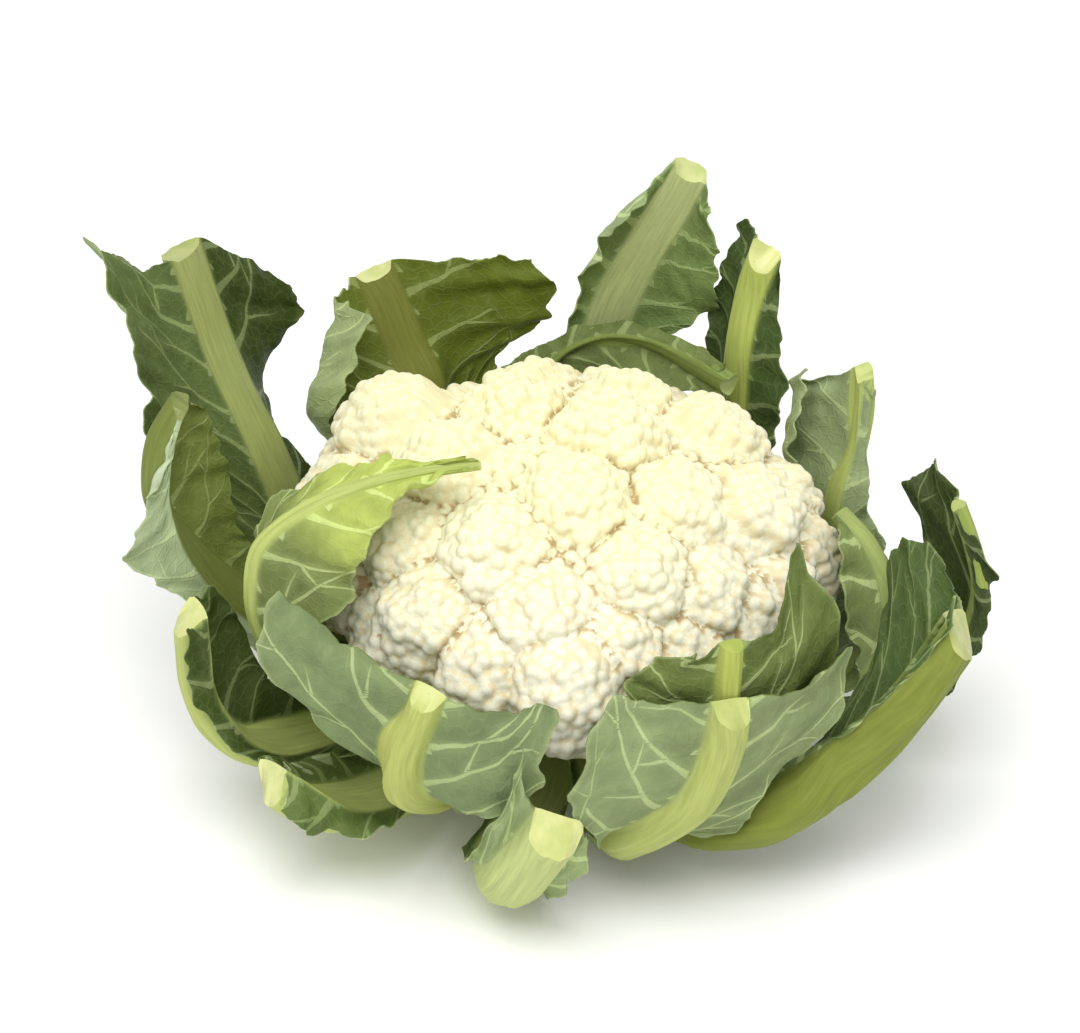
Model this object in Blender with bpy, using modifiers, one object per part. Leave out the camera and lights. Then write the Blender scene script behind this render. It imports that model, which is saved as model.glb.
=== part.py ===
"""A cauliflower with its trimmed leaves, standing on its cut stem.

The white head is one dome of fused florets. Each leaf is its own solid: a thick rib with a blade on
both sides, grown from the stem in three tiers and cut off at the top. Metres, +Z up, with the origin
at the middle of the stem's cut face.
"""

import math

import bmesh
import bpy
import numpy as np
from mathutils import Vector
from mathutils.bvhtree import BVHTree

MM = 0.001

# The stem, turned about Z
STEM_RADIUS = 27.0 * MM
STEM_FOOT_RADIUS = 24.0 * MM
STEM_TOP = 46.0 * MM
STEM_FOOT_HEIGHT = 12.0 * MM
STEM_SHOULDER = 6.0 * MM
STEM_SIDES = 40
FIT_GAP = 0.35 * MM
CUTTER_DROP = 8.0 * MM

# The head: a dome above its widest ring and a shallow bowl below it
HEAD_CENTRE = 70.0 * MM
HEAD_RADIUS = 82.0 * MM
DOME_HEIGHT = 60.0 * MM
BOWL_DEPTH = 34.0 * MM
CORE_INSET = 10.0 * MM
CORE_SIDES = 24
CORE_RINGS = 14
# Where the head departs from that outline: azimuth and tilt from the top in degrees, rise in
# millimetres, spread in degrees
BULGES = (
    (160, 68, 15, 24),
    (128, 60, -8, 14),
    (62, 52, -5, 12),
    (-13, 88, 8, 20),
    (-95, 106, 10, 16),
)

# The florets: a spiral of lobes over the dome, each a cluster of round knobs
LOBE_COUNT = 41
LOBE_RADIUS = 22.0 * MM
LOWEST_LOBE = 110.0
KNOBS_A_LOBE = 7
KNOB_RADIUS = 9.4 * MM
KNOB_LEAN = 52.0
GOLDEN_ANGLE = math.pi * (3.0 - math.sqrt(5.0))
HEAD_TRIANGLES = 6000

# How finely a leaf is laid out. A column is a share of the rib's half width or of the blade
ROWS = 12
RIB_COLUMNS = (-1.0, -0.8, -0.35, 0.35, 0.8, 1.0)
RIB_FULLNESS = (0.0, 0.62, 0.95, 0.95, 0.62, 0.0)
PLAIN_COLUMNS = (0.3, 0.65, 1.0)
FOLDED_COLUMNS = (0.25, 0.5, 0.75, 1.0)
BLADE_THICKNESS = 1.2 * MM
THINNEST = 0.8 * MM
WING = 2.0 * MM
NORMAL_ROUNDS = 3
BLADE_ROUNDS = 2
EASING_ROUNDS = 40
THINNING = 0.93
# A slanted cut draws one face back by at most this share of the last row's length
MOST_DRAWN = 0.6
RUFFLE = 1.4 * MM
RUFFLE_WAVES = 3.0

# How leaves are kept apart: each is pushed away from the head's centre until it clears what it covers
CENTRE = np.array((0.0, 0.0, HEAD_CENTRE))
LAYER_GAP = 1.6 * MM
HEAD_GAP = 2.2 * MM
PROBES = (3.0 * MM, 6.0 * MM)
PROBE_DIRECTIONS = 6
FAR = 400.0 * MM
SPREADING_ROUNDS = 8
SETTLING_ROUNDS = 3


def leaf(rib, left, right, breadth, depth, slant, colour):
    """A leaf as smooth lines from the stem to its cut top. Each point is an azimuth in degrees, a
    radius and a height in millimetres. rib runs along the middle of the inner face. left and right,
    as seen from outside, hold the blade's lines from the one nearest the rib to the margin. breadth
    and depth are the rib's section in millimetres at the stem, halfway up and at the cut. slant is
    how far the cut is drawn back on its outer side, or on its inner side where it is below zero,
    as a share of the rib's depth."""
    return {
        "rib": rib,
        "left": left,
        "right": right,
        "breadth": breadth,
        "depth": depth,
        "slant": slant,
        "colour": colour,
    }


# From the innermost leaf to the outermost: each lies outside those named before it
LEAVES = {
    "leaf_left_inner": leaf(
        rib=(
            (-150, 22, 42), (-156, 60, 38), (-160, 90, 54), (-156, 102, 95), (-157, 98, 103),
            (-157, 87, 111), (-152, 60, 120), (-128, 41, 128),
        ),
        left=(
            (
                (-166, 96, 101), (-170, 83, 110), (-168, 68, 116), (-161, 56, 123), (-147, 48, 125),
                (-130, 41, 128),
            ),
        ),
        right=(
            (
                (-142, 98, 70), (-140, 94, 88), (-139, 85, 90), (-139, 76, 96), (-140, 77, 105),
                (-136, 72, 116), (-136, 60, 125), (-129, 42, 128),
            ),
        ),
        breadth=(14, 7, 2.5),
        depth=(8, 4, 2),
        slant=0.0,
        colour="young",
    ),
    "leaf_right_inner": leaf(
        rib=((-4, 22, 42), (-8, 60, 38), (-14, 88, 44), (-15, 100, 65), (-11, 94, 84), (-6, 82, 93)),
        left=(((-27, 101, 61), (-25, 90, 74), (-20, 83, 89), (-10, 78, 95)),),
        right=(((0, 104, 35), (3, 102, 51), (5, 97, 70), (1, 86, 87)),),
        breadth=(14, 12, 7),
        depth=(8, 7, 5),
        slant=0.0,
        colour="outer",
    ),
    "leaf_front_right_inner": leaf(
        rib=((-50, 22, 42), (-52, 60, 38), (-56, 80, 50), (-61, 94, 76), (-59, 91, 98)),
        left=(((-74, 89, 68), (-80, 89, 84), (-81, 83, 90), (-67, 88, 96)),),
        right=(
            ((-49, 96, 64), (-45, 93, 82), (-49, 87, 94)),
            ((-38, 94, 56), (-33, 97, 77), (-32, 90, 98), (-35, 80, 115)),
        ),
        breadth=(14, 10, 7),
        depth=(8, 6, 5),
        slant=0.5,
        colour="young",
    ),
    "leaf_back_low": leaf(
        rib=(
            (100, 22, 42), (100, 60, 38), (98, 88, 58), (91, 96, 90), (77, 95, 96), (64, 89, 93),
            (52, 86, 91),
        ),
        left=(((85, 80, 66), (82, 81, 100), (73, 67, 95), (63, 67, 94), (53, 80, 89)),),
        right=(((110, 92, 70), (91, 100, 98), (75, 102, 105), (65, 95, 97), (53, 93, 91)),),
        breadth=(14, 8, 8),
        depth=(8, 4.5, 6),
        slant=-0.5,
        colour="inner",
    ),
    "leaf_back_left": leaf(
        rib=((127, 22, 29), (123, 60, 28), (121, 88, 46), (119, 89, 76), (121, 102, 97), (123, 114, 119)),
        left=(
            ((112, 88, 60), (108, 99, 89), (107, 103, 112), (107, 104, 122)),
            ((104, 90, 66), (99, 97, 87), (91, 94, 93), (90, 94, 108), (96, 99, 123)),
        ),
        right=(
            ((134, 88, 60), (140, 106, 70), (144, 111, 83), (136, 110, 100), (129, 113, 115)),
            ((140, 90, 62), (139, 98, 77), (139, 92, 92), (132, 88, 112), (128, 104, 119)),
        ),
        breadth=(15, 14, 13),
        depth=(10, 9, 8),
        slant=-0.5,
        colour="inner",
    ),
    "leaf_left_curl": leaf(
        rib=(
            (164, 22, 42), (170, 60, 38), (178, 96, 50), (-177, 121, 90), (180, 124, 108),
            (177, 115, 126),
        ),
        left=(((162, 94, 60), (172, 97, 61), (168, 103, 76), (166, 108, 95), (171, 110, 116)),),
        right=(
            ((-172, 94, 46), (-175, 112, 66), (-177, 123, 75), (-178, 123, 94), (179, 118, 118)),
            (
                (-168, 96, 48), (-171, 116, 77), (-173, 126, 68), (-176, 144, 76), (-177, 134, 86),
                (-178, 121, 104),
            ),
        ),
        breadth=(14, 16, 12),
        depth=(8, 8, 6),
        slant=-0.3,
        colour="outer",
    ),
    "leaf_front_left": leaf(
        rib=((-116, 22, 29), (-119, 55, 29), (-121, 76, 33), (-120, 97, 53), (-114, 96, 88)),
        left=(
            (
                (-124, 108, 60), (-130, 111, 65), (-136, 113, 64), (-141, 112, 74), (-147, 110, 85),
                (-150, 104, 93), (-150, 95, 102),
            ),
        ),
        right=(
            ((-115, 97, 41), (-108, 98, 31), (-99, 98, 40), (-92, 98, 59), (-91, 96, 74), (-90, 92, 87)),
        ),
        breadth=(15, 12, 10),
        depth=(10, 8, 7),
        slant=0.8,
        colour="outer",
    ),
    "leaf_front_right": leaf(
        rib=((-70, 22, 29), (-77, 55, 25), (-80, 76, 24), (-68, 95, 47), (-64, 98, 65), (-62, 97, 84)),
        left=(((-84, 89, 27), (-90, 95, 48), (-91, 96, 65), (-87, 94, 81), (-83, 90, 94)),),
        right=(
            ((-62, 95, 27), (-53, 101, 29), (-53, 100, 46), (-41, 103, 57), (-37, 104, 69), (-33, 103, 86)),
        ),
        breadth=(15, 15, 11),
        depth=(10, 9, 8),
        slant=0.8,
        colour="outer",
    ),
    "leaf_right_back": leaf(
        rib=((15, 22, 29), (16, 60, 28), (18, 86, 45), (16, 89, 77), (20, 98, 99), (24, 101, 117)),
        left=(((8, 91, 79), (16, 99, 98), (19, 103, 107), (22, 105, 112)),),
        right=(
            ((26, 86, 56), (33, 82, 58), (40, 86, 74), (41, 88, 91), (36, 93, 104)),
            ((28, 88, 60), (25, 81, 64), (22, 81, 81), (19, 84, 101), (22, 92, 124)),
        ),
        breadth=(15, 9, 7),
        depth=(9, 6, 5),
        slant=-0.5,
        colour="outer",
    ),
    "leaf_back": leaf(
        rib=((77, 22, 29), (82, 60, 28), (85, 92, 46), (83, 105, 86), (76, 107, 121), (68, 110, 152)),
        left=(
            ((66, 97, 62), (74, 102, 88), (61, 105, 100), (57, 103, 113), (61, 105, 128), (65, 108, 139)),
        ),
        right=(
            (
                (97, 97, 62), (93, 104, 82), (91, 106, 97), (88, 104, 117), (83, 103, 134),
                (76, 102, 137), (72, 105, 146),
            ),
            (
                (96, 96, 62), (88, 104, 84), (85, 104, 100), (82, 93, 121), (79, 94, 135),
                (74, 99, 139), (72, 104, 145),
            ),
        ),
        breadth=(15, 15, 12),
        depth=(10, 8, 7),
        slant=-0.6,
        colour="inner",
    ),
    "leaf_left_mid": leaf(
        rib=(
            (-165, 22, 29), (-161, 60, 27), (-158, 92, 28), (-154, 108, 38), (-157, 116, 51),
            (-158, 118, 85),
        ),
        left=(
            ((-160, 100, 46), (-163, 105, 56), (-164, 105, 68), (-161, 112, 87)),
            ((-156, 89, 41), (-161, 92, 54), (-164, 95, 66), (-164, 103, 79)),
        ),
        right=(((-146, 111, 38), (-149, 119, 43), (-152, 126, 56), (-155, 130, 70), (-157, 126, 85)),),
        breadth=(15, 14, 13),
        depth=(10, 10, 9),
        slant=1.2,
        colour="outer",
    ),
    "leaf_left_tall": leaf(
        rib=((150, 22, 17), (151, 60, 16), (152, 90, 38), (156, 103, 82), (155, 119, 113), (154, 132, 149)),
        left=(
            ((146, 92, 56), (148, 116, 92), (144, 120, 115), (142, 123, 135)),
            ((142, 92, 62), (144, 122, 87), (139, 121, 100), (134, 117, 112), (137, 123, 125)),
        ),
        right=(
            ((160, 92, 50), (166, 114, 97), (164, 124, 119), (164, 135, 141), (162, 139, 155)),
            (
                (166, 94, 52), (175, 116, 105), (174, 124, 123), (174, 131, 141), (172, 137, 158),
                (171, 146, 180),
            ),
        ),
        breadth=(16, 17, 18),
        depth=(11, 11, 8),
        slant=-0.3,
        colour="inner",
    ),
    "leaf_back_right": leaf(
        rib=((55, 22, 17), (55, 60, 16), (55, 92, 40), (55, 98, 98), (55, 103, 114), (53, 107, 131)),
        left=(((46, 94, 56), (41, 95, 90), (45, 102, 103), (48, 105, 114), (49, 108, 125)),),
        right=(
            ((64, 94, 62), (61, 103, 87), (63, 104, 109), (60, 107, 125), (58, 109, 137)),
            ((68, 94, 66), (65, 97, 84), (66, 98, 95), (65, 102, 109), (63, 106, 123), (63, 106, 135)),
        ),
        breadth=(16, 11, 11),
        depth=(11, 8, 8),
        slant=-1.0,
        colour="inner",
    ),
    "leaf_right_far": leaf(
        rib=((-3, 22, 18), (-6, 62, 16), (-8, 98, 24), (-6, 120, 41), (-5, 127, 68), (-4, 119, 97)),
        left=(((-6, 115, 23), (-4, 129, 41), (-5, 136, 72), (-4, 128, 84)),),
        right=(((3, 110, 15), (7, 110, 45), (9, 113, 71), (12, 105, 91), (12, 112, 97), (2, 118, 96)),),
        breadth=(15, 11, 7),
        depth=(11, 7, 4),
        slant=0.0,
        colour="inner",
    ),
    "leaf_front": leaf(
        rib=((-97, 22, 18), (-101, 52, 15), (-104, 74, 14), (-100, 92, 21), (-91, 100, 51)),
        left=(((-112, 70, 14), (-109, 99, 28), (-105, 102, 41), (-101, 103, 59), (-97, 102, 83)),),
        right=(((-92, 74, 12), (-93, 88, 4), (-87, 93, 19), (-84, 98, 34), (-86, 99, 44)),),
        breadth=(15, 21, 16),
        depth=(11, 11, 12),
        slant=1.0,
        colour="outer",
    ),
    "leaf_right_long": leaf(
        rib=(
            (-51, 22, 18), (-58, 60, 15), (-52, 91, 31), (-42, 102, 42), (-36, 110, 53), (-31, 118, 70),
            (-26, 127, 92),
        ),
        left=(
            (
                (-64, 74, 12), (-47, 90, 12), (-32, 103, 17), (-27, 110, 24), (-21, 120, 29),
                (-17, 131, 34), (-16, 135, 49), (-18, 135, 71), (-20, 130, 99),
            ),
        ),
        right=(
            (
                (-48, 74, 22), (-40, 93, 37), (-33, 102, 44), (-31, 98, 62), (-23, 104, 70),
                (-17, 97, 91), (-15, 93, 112), (-17, 109, 105), (-19, 120, 99),
            ),
        ),
        breadth=(15, 17, 16),
        depth=(11, 12, 13),
        slant=1.0,
        colour="outer",
    ),
    "leaf_left_low": leaf(
        rib=((-143, 22, 18), (-141, 58, 16), (-139, 80, 20), (-137, 100, 33), (-140, 114, 48)),
        left=(((-150, 72, 18), (-138, 87, 33), (-140, 98, 43), (-140, 110, 50)),),
        right=(((-131, 70, 17), (-122, 95, 31), (-128, 107, 28), (-132, 114, 25), (-137, 123, 39)),),
        breadth=(15, 17, 15),
        depth=(11, 12, 12),
        slant=1.2,
        colour="outer",
    ),
}

LEAF_COLOURS = {
    "outer": (0.25, 0.35, 0.16),
    "inner": (0.10, 0.17, 0.05),
    "young": (0.40, 0.50, 0.13),
}
HEAD_COLOUR = (0.93, 0.88, 0.64)
STEM_COLOUR = (0.62, 0.66, 0.36)


def unit(vectors):
    return vectors / np.linalg.norm(vectors, axis=-1, keepdims=True)


def placed(points):
    """Points in azimuth, radius and height as x, y and z in metres."""
    azimuth, radius, height = np.array(points, float).T
    azimuth = np.radians(azimuth)
    return np.stack((radius * np.cos(azimuth), radius * np.sin(azimuth), height), 1) * MM


def curve(points, knots, where):
    """The smooth curve through points given at rising knots, read at each of where."""
    points = np.asarray(points, float)
    step = np.diff(knots)
    slope = np.diff(points, axis=0) / step[:, None]
    tangent = np.empty_like(points)
    tangent[0], tangent[-1] = slope[0], slope[-1]
    before, after = step[:-1, None], step[1:, None]
    tangent[1:-1] = (slope[:-1] * after + slope[1:] * before) / (before + after)
    start = np.clip(np.searchsorted(knots, where, side="right") - 1, 0, len(step) - 1)
    long = step[start][:, None]
    f = (where - knots[start])[:, None] / long
    rise = 3 * f**2 - 2 * f**3
    lead = (f - 2 * f**2 + f**3) * long * tangent[start]
    tail = (f**3 - f**2) * long * tangent[start + 1]
    return points[start] * (1 - rise) + points[start + 1] * rise + lead + tail


def even_line(points, where):
    """The smooth line through points, read at even lengths, with its direction there."""
    gaps = np.linalg.norm(np.diff(points, axis=0), axis=1)
    knots = np.concatenate(((0.0,), np.cumsum(np.sqrt(gaps))))
    fine = curve(points, knots, np.linspace(0.0, knots[-1], 241))
    length = np.concatenate(((0.0,), np.cumsum(np.linalg.norm(np.diff(fine, axis=0), axis=1))))
    slope = np.gradient(fine, length, axis=0)
    along = where * length[-1]
    places = [np.interp(along, length, fine[:, axis]) for axis in range(3)]
    ahead = [np.interp(along, length, slope[:, axis]) for axis in range(3)]
    return np.stack(places, 1), unit(np.stack(ahead, 1))


def eased(values, where):
    """Evenly spaced values as a smooth curve from 0 to 1."""
    values = np.array(values, float)[:, None]
    return curve(values, np.linspace(0.0, 1.0, len(values)), where)


def columns_of(lines):
    """Where the points of one side lie between the rib's edge and the margin."""
    return np.array(FOLDED_COLUMNS if len(lines) > 1 else PLAIN_COLUMNS)


def blade(lines, edge, side, where):
    """One side of the blade between the rib's edge and its margin, as rows of points."""
    columns = columns_of(lines)
    around = np.arctan2(edge[:, 1], edge[:, 0])
    strips = [edge]
    for number, points in enumerate(lines, 1):
        least = WING * number / len(lines)
        strip = even_line(np.vstack((edge[0] + side[0] * least, placed(points))), where)[0]
        beside = ((strip - edge) * side).sum(1, keepdims=True)
        strips.append(strip + side * np.maximum(0.0, least - beside))
    rounded = []
    for strip in strips:
        turn = np.arctan2(strip[:, 1], strip[:, 0]) - around
        turn = (turn + math.pi) % (2 * math.pi) - math.pi + around
        rounded.append(np.stack((turn, np.hypot(strip[:, 0], strip[:, 1]), strip[:, 2]), 1).reshape(-1))
    knots = np.linspace(0.0, 1.0, len(strips))
    turn, radius, height = curve(rounded, knots, columns).reshape(len(columns), -1, 3).T
    return np.stack((radius * np.cos(turn), radius * np.sin(turn), height), -1)


def leaf_grid(spec, order):
    """A leaf's inner face: rows of points from the stem to the cut, from the right to the left."""
    where = np.linspace(0.0, 1.0, ROWS)
    places, ahead = even_line(placed(spec["rib"]), where)
    inward = CENTRE - places
    inward = unit(inward - (inward * ahead).sum(1, keepdims=True) * ahead)
    across = np.cross(ahead, inward)
    half = eased(spec["breadth"], where) * 0.5 * MM
    left = blade(spec["left"], places + half * across, across, where)
    right = blade(spec["right"], places - half * across, -across, where)
    middle = places[:, None] + (half * np.array(RIB_COLUMNS))[..., None] * across[:, None]
    grid = np.concatenate((right[:, ::-1], middle, left), axis=1)
    eased_grid = smoothed(grid, BLADE_ROUNDS)
    loose = np.ones(grid.shape[1], bool)
    loose[right.shape[1] : right.shape[1] + len(RIB_COLUMNS)] = False
    loose[0] = loose[-1] = False
    grid[1:-1, loose] = eased_grid[1:-1, loose]
    share = (columns_of(spec["right"])[::-1], np.zeros(len(RIB_COLUMNS)), columns_of(spec["left"]))
    share = np.concatenate(share)
    wave = np.sin(2 * math.pi * RUFFLE_WAVES * where + order)[:, None] * share**2 * where[:, None] ** 0.5
    return grid + grid_normals(grid) * (wave * RUFFLE)[..., None]


def smoothed(values, rounds):
    """A grid's values, each averaged with its neighbours."""
    for _ in range(rounds):
        ring = np.pad(values, ((1, 1), (1, 1), (0, 0)), mode="edge")
        near = (ring[:-2, 1:-1] + ring[2:, 1:-1] + ring[1:-1, :-2] + ring[1:-1, 2:]) / 4
        values = (values + near) / 2
    return values


def depths(spec):
    """How thick the leaf is outwards from its inner face, at each point of its grid."""
    deep = eased(spec["depth"], np.linspace(0.0, 1.0, ROWS)) * MM
    rib = BLADE_THICKNESS + (deep - BLADE_THICKNESS) * np.array(RIB_FULLNESS)
    sides = [np.full((ROWS, len(columns_of(spec[side]))), BLADE_THICKNESS) for side in ("right", "left")]
    return np.concatenate((sides[0], rib, sides[1]), axis=1)


def grid_normals(grid):
    return unit(np.cross(np.gradient(grid, axis=1), np.gradient(grid, axis=0)))


def leaf_body(rows, columns):
    """A closed shell of triangles: a grid, a reversed copy of it, and a band that joins their edges."""
    body = bmesh.new()
    bmesh.ops.create_grid(body, x_segments=columns - 1, y_segments=rows - 1, size=1.0)
    bmesh.ops.triangulate(body, faces=body.faces[:])
    copy = bmesh.ops.duplicate(body, geom=body.verts[:] + body.edges[:] + body.faces[:])
    for part in copy["geom"]:
        if isinstance(part, bmesh.types.BMVert):
            part.co.z -= 1.0
    copied = [part for part in copy["geom"] if isinstance(part, bmesh.types.BMFace)]
    bmesh.ops.reverse_faces(body, faces=copied)
    band = bmesh.ops.bridge_loops(body, edges=[edge for edge in body.edges if edge.is_boundary])
    bmesh.ops.triangulate(body, faces=band["faces"])
    body.verts.index_update()
    body.faces.ensure_lookup_table()
    return body


def tangled(body, inner, outer):
    """Puts the shell's points in place, and tells which rows and columns lie on faces that cross."""
    for vertex, place in zip(body.verts, np.concatenate((inner.reshape(-1, 3), outer.reshape(-1, 3)))):
        vertex.co = place
    tree = BVHTree.FromBMesh(body)
    crossing = np.zeros(inner.shape[0] * inner.shape[1], bool)
    for first, second in tree.overlap(tree):
        corners = {vertex.index for vertex in body.faces[first].verts}
        others = {vertex.index for vertex in body.faces[second].verts}
        if corners.isdisjoint(others):
            crossing[[index % len(crossing) for index in corners | others]] = True
    return crossing.reshape(inner.shape[:2])


def cut_across(inner, outer, deep, slant):
    """Both faces, one drawn back at the end, so that the stalk is cut at a slant: the cut faces
    outwards for a slant above zero, and inwards for one below."""
    ahead = inner[-1] - inner[-2]
    back = np.maximum(deep[-1] - BLADE_THICKNESS, 0.0) * abs(slant)
    back = np.minimum(back, MOST_DRAWN * np.linalg.norm(ahead, axis=1))
    faces = [inner.copy(), outer.copy()]
    faces[int(slant > 0)][-1] -= unit(ahead) * back[:, None]
    return faces


def untangled(body, grid, spec):
    """The leaf's middle lines with its inner and outer face, eased and thinned wherever the
    shell would cross itself."""
    deep = depths(spec)
    for _ in range(EASING_ROUNDS):
        ways = unit(smoothed(grid_normals(grid), NORMAL_ROUNDS))
        inner, outer = cut_across(grid, grid - ways * deep[..., None], deep, spec["slant"])
        crossing = tangled(body, inner, outer)
        if not crossing.any():
            break
        crossing = smoothed(crossing[..., None].astype(float), 1)[..., 0] > 0
        grid = np.where(crossing[..., None], smoothed(grid, 1), grid)
        deep = np.where(crossing, np.maximum(deep * THINNING, THINNEST), deep)
    return grid, inner, outer


def tree_of(*grids):
    """One search tree over grids of points, each joined into faces."""
    points, faces = [], []
    for grid in grids:
        rows, columns = grid.shape[:2]
        number = np.arange(rows * columns).reshape(rows, columns) + len(points)
        quads = np.stack((number[:-1, :-1], number[1:, :-1], number[1:, 1:], number[:-1, 1:]), -1)
        faces.extend(quads.reshape(-1, 4).tolist())
        points.extend(grid.reshape(-1, 3).tolist())
    return BVHTree.FromPolygons(points, faces)


def toward(azimuth, tilt):
    """The direction at an azimuth and a tilt from the top, both in radians."""
    flat = math.sin(tilt)
    return np.array((flat * math.cos(azimuth), flat * math.sin(azimuth), math.cos(tilt)))


def head_reach(direction):
    """How far the head's outline lies from its centre in a direction."""
    height = DOME_HEIGHT if direction[2] >= 0 else BOWL_DEPTH
    reach = 1 / np.linalg.norm(direction / (HEAD_RADIUS, HEAD_RADIUS, height))
    for azimuth, tilt, rise, spread in BULGES:
        middle = toward(math.radians(azimuth), math.radians(tilt))
        apart = math.degrees(math.acos(min(1.0, direction @ middle)))
        reach += rise * MM * math.exp(-((apart / spread) ** 2))
    return reach


def needed_push(place, covered):
    """How far a point has to move outwards to clear the head and the leaves that it covers."""
    ray = place - CENTRE
    far = np.linalg.norm(ray)
    ray /= far
    limit = head_reach(ray) + HEAD_GAP
    aside = unit(np.cross(ray, (0.3, 0.2, 0.9)))
    over = np.cross(ray, aside)
    shifts = [0 * aside]
    for number in range(PROBE_DIRECTIONS):
        turn = 2 * math.pi * number / PROBE_DIRECTIONS
        shifts += [(aside * math.cos(turn) + over * math.sin(turn)) * probe for probe in PROBES]
    for shift in shifts:
        probe = unit(place + shift - CENTRE)
        for tree in covered:
            hit = tree.ray_cast(Vector(CENTRE + probe * FAR), Vector(-probe), FAR)
            if hit[0] is not None:
                limit = max(limit, FAR - hit[3] + LAYER_GAP)
    return max(0.0, limit - far)


def clear_of(grid, covered):
    """The grid, moved outwards where it has to be, with the move eased into its surroundings."""
    need = np.apply_along_axis(needed_push, 2, grid, covered)
    need[0] = 0.0
    push = need.copy()
    for _ in range(SPREADING_ROUNDS):
        ring = np.pad(push, 1, mode="edge")
        near = (ring[:-2, 1:-1] + ring[2:, 1:-1] + ring[1:-1, :-2] + ring[1:-1, 2:]) / 4
        push = np.maximum(need, (push + near) / 2)
        push[0] = 0.0
    return grid + unit(grid - CENTRE) * push[..., None]


def settled_leaves():
    """Every leaf's shell with its inner and outer face, each clear of the head and of the leaves
    inside it."""
    trees, leaves = [], {}
    for order, (name, spec) in enumerate(LEAVES.items()):
        grid = leaf_grid(spec, order)
        body = leaf_body(*grid.shape[:2])
        for _ in range(SETTLING_ROUNDS):
            grid, inner, outer = untangled(body, clear_of(grid, trees), spec)
        trees.append(tree_of(inner, outer))
        leaves[name] = body, inner, outer
    return leaves


def material(name, colour, roughness):
    made = bpy.data.materials.new(name)
    made.use_nodes = True
    made.diffuse_color = (*colour, 1.0)
    shader = made.node_tree.nodes["Principled BSDF"]
    shader.inputs["Base Color"].default_value = (*colour, 1.0)
    shader.inputs["Roughness"].default_value = roughness
    shader.inputs["Metallic"].default_value = 0.0
    return made


def linked(name, body, collection, finish=None):
    """An object made from a bmesh, which is then freed."""
    mesh = bpy.data.meshes.new(name)
    body.to_mesh(mesh)
    body.free()
    made = bpy.data.objects.new(name, mesh)
    collection.objects.link(made)
    if finish:
        mesh.materials.append(finish)
    return made


def turned(name, profile, collection, finish=None):
    """A solid turned about Z from a profile of radius and height, listed from the top down."""
    body = bmesh.new()
    corners = [body.verts.new((radius, 0.0, height)) for radius, height in profile]
    for first, second in zip(corners, corners[1:]):
        body.edges.new((first, second))
    made = linked(name, body, collection, finish)
    spin = made.modifiers.new("turn", "SCREW")
    spin.steps = spin.render_steps = STEM_SIDES
    spin.use_merge_vertices = True
    spin.merge_threshold = 0.01 * MM
    return made


def stem_profile(grow, drop):
    """The stem's outline, grown by the fitting gap where it serves as the cutter."""
    return (
        (0.0, STEM_TOP + grow),
        (STEM_RADIUS - STEM_SHOULDER + grow, STEM_TOP + grow),
        (STEM_RADIUS + grow, STEM_TOP - STEM_SHOULDER),
        (STEM_RADIUS + grow, STEM_FOOT_HEIGHT),
        (STEM_FOOT_RADIUS + grow, -drop),
        (0.0, -drop),
    )


def cut_by(made, cutter):
    fit = made.modifiers.new("fit to stem", "BOOLEAN")
    fit.operation = "DIFFERENCE"
    fit.object = cutter
    fit.solver = "MANIFOLD"


def make_leaf(name, body, collection, cutter):
    colour = LEAF_COLOURS[LEAVES[name]["colour"]]
    cut_by(linked(name, body, collection, material(name, colour, 0.6)), cutter)


def on_head(azimuth, tilt, inset):
    """A point under the head's outline, and the way out of the head there."""
    height = DOME_HEIGHT if tilt <= math.pi / 2 else BOWL_DEPTH
    away = unit(toward(azimuth, tilt) / (HEAD_RADIUS, HEAD_RADIUS, height))
    direction = unit(toward(azimuth, tilt) * (HEAD_RADIUS, HEAD_RADIUS, height))
    return Vector(CENTRE + direction * head_reach(direction) - away * inset), Vector(away)


def florets():
    """The round knobs of the florets, on a spiral of lobes: each one's lobe, number and middle."""
    highest = math.cos(math.radians(LOWEST_LOBE))
    for lobe in range(LOBE_COUNT):
        share = (lobe + 0.5) / LOBE_COUNT
        tilt = math.acos(1 - share * (1 - highest))
        middle, away = on_head(lobe * GOLDEN_ANGLE, tilt, LOBE_RADIUS)
        first = away.orthogonal().normalized()
        second = away.cross(first)
        for knob in range(KNOBS_A_LOBE):
            lean = 0.0 if knob == 0 else math.radians(KNOB_LEAN)
            spin = knob * 2 * math.pi / (KNOBS_A_LOBE - 1) + lobe
            out = away * math.cos(lean) + (first * math.cos(spin) + second * math.sin(spin)) * math.sin(lean)
            yield lobe, knob, middle + out * (LOBE_RADIUS - KNOB_RADIUS)


def make_knobs(collection):
    """The florets as separate balls, all sharing one mesh."""
    body = bmesh.new()
    bmesh.ops.create_icosphere(body, subdivisions=2, radius=1.0)
    ball = bpy.data.meshes.new("knob")
    body.to_mesh(ball)
    body.free()
    for lobe, knob, middle in florets():
        made = bpy.data.objects.new(f"knob_{lobe}_{knob}", ball)
        made.location = middle
        made.scale = (KNOB_RADIUS, KNOB_RADIUS, KNOB_RADIUS)
        made.rotation_euler = (lobe, knob, 0.0)
        collection.objects.link(made)


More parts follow.
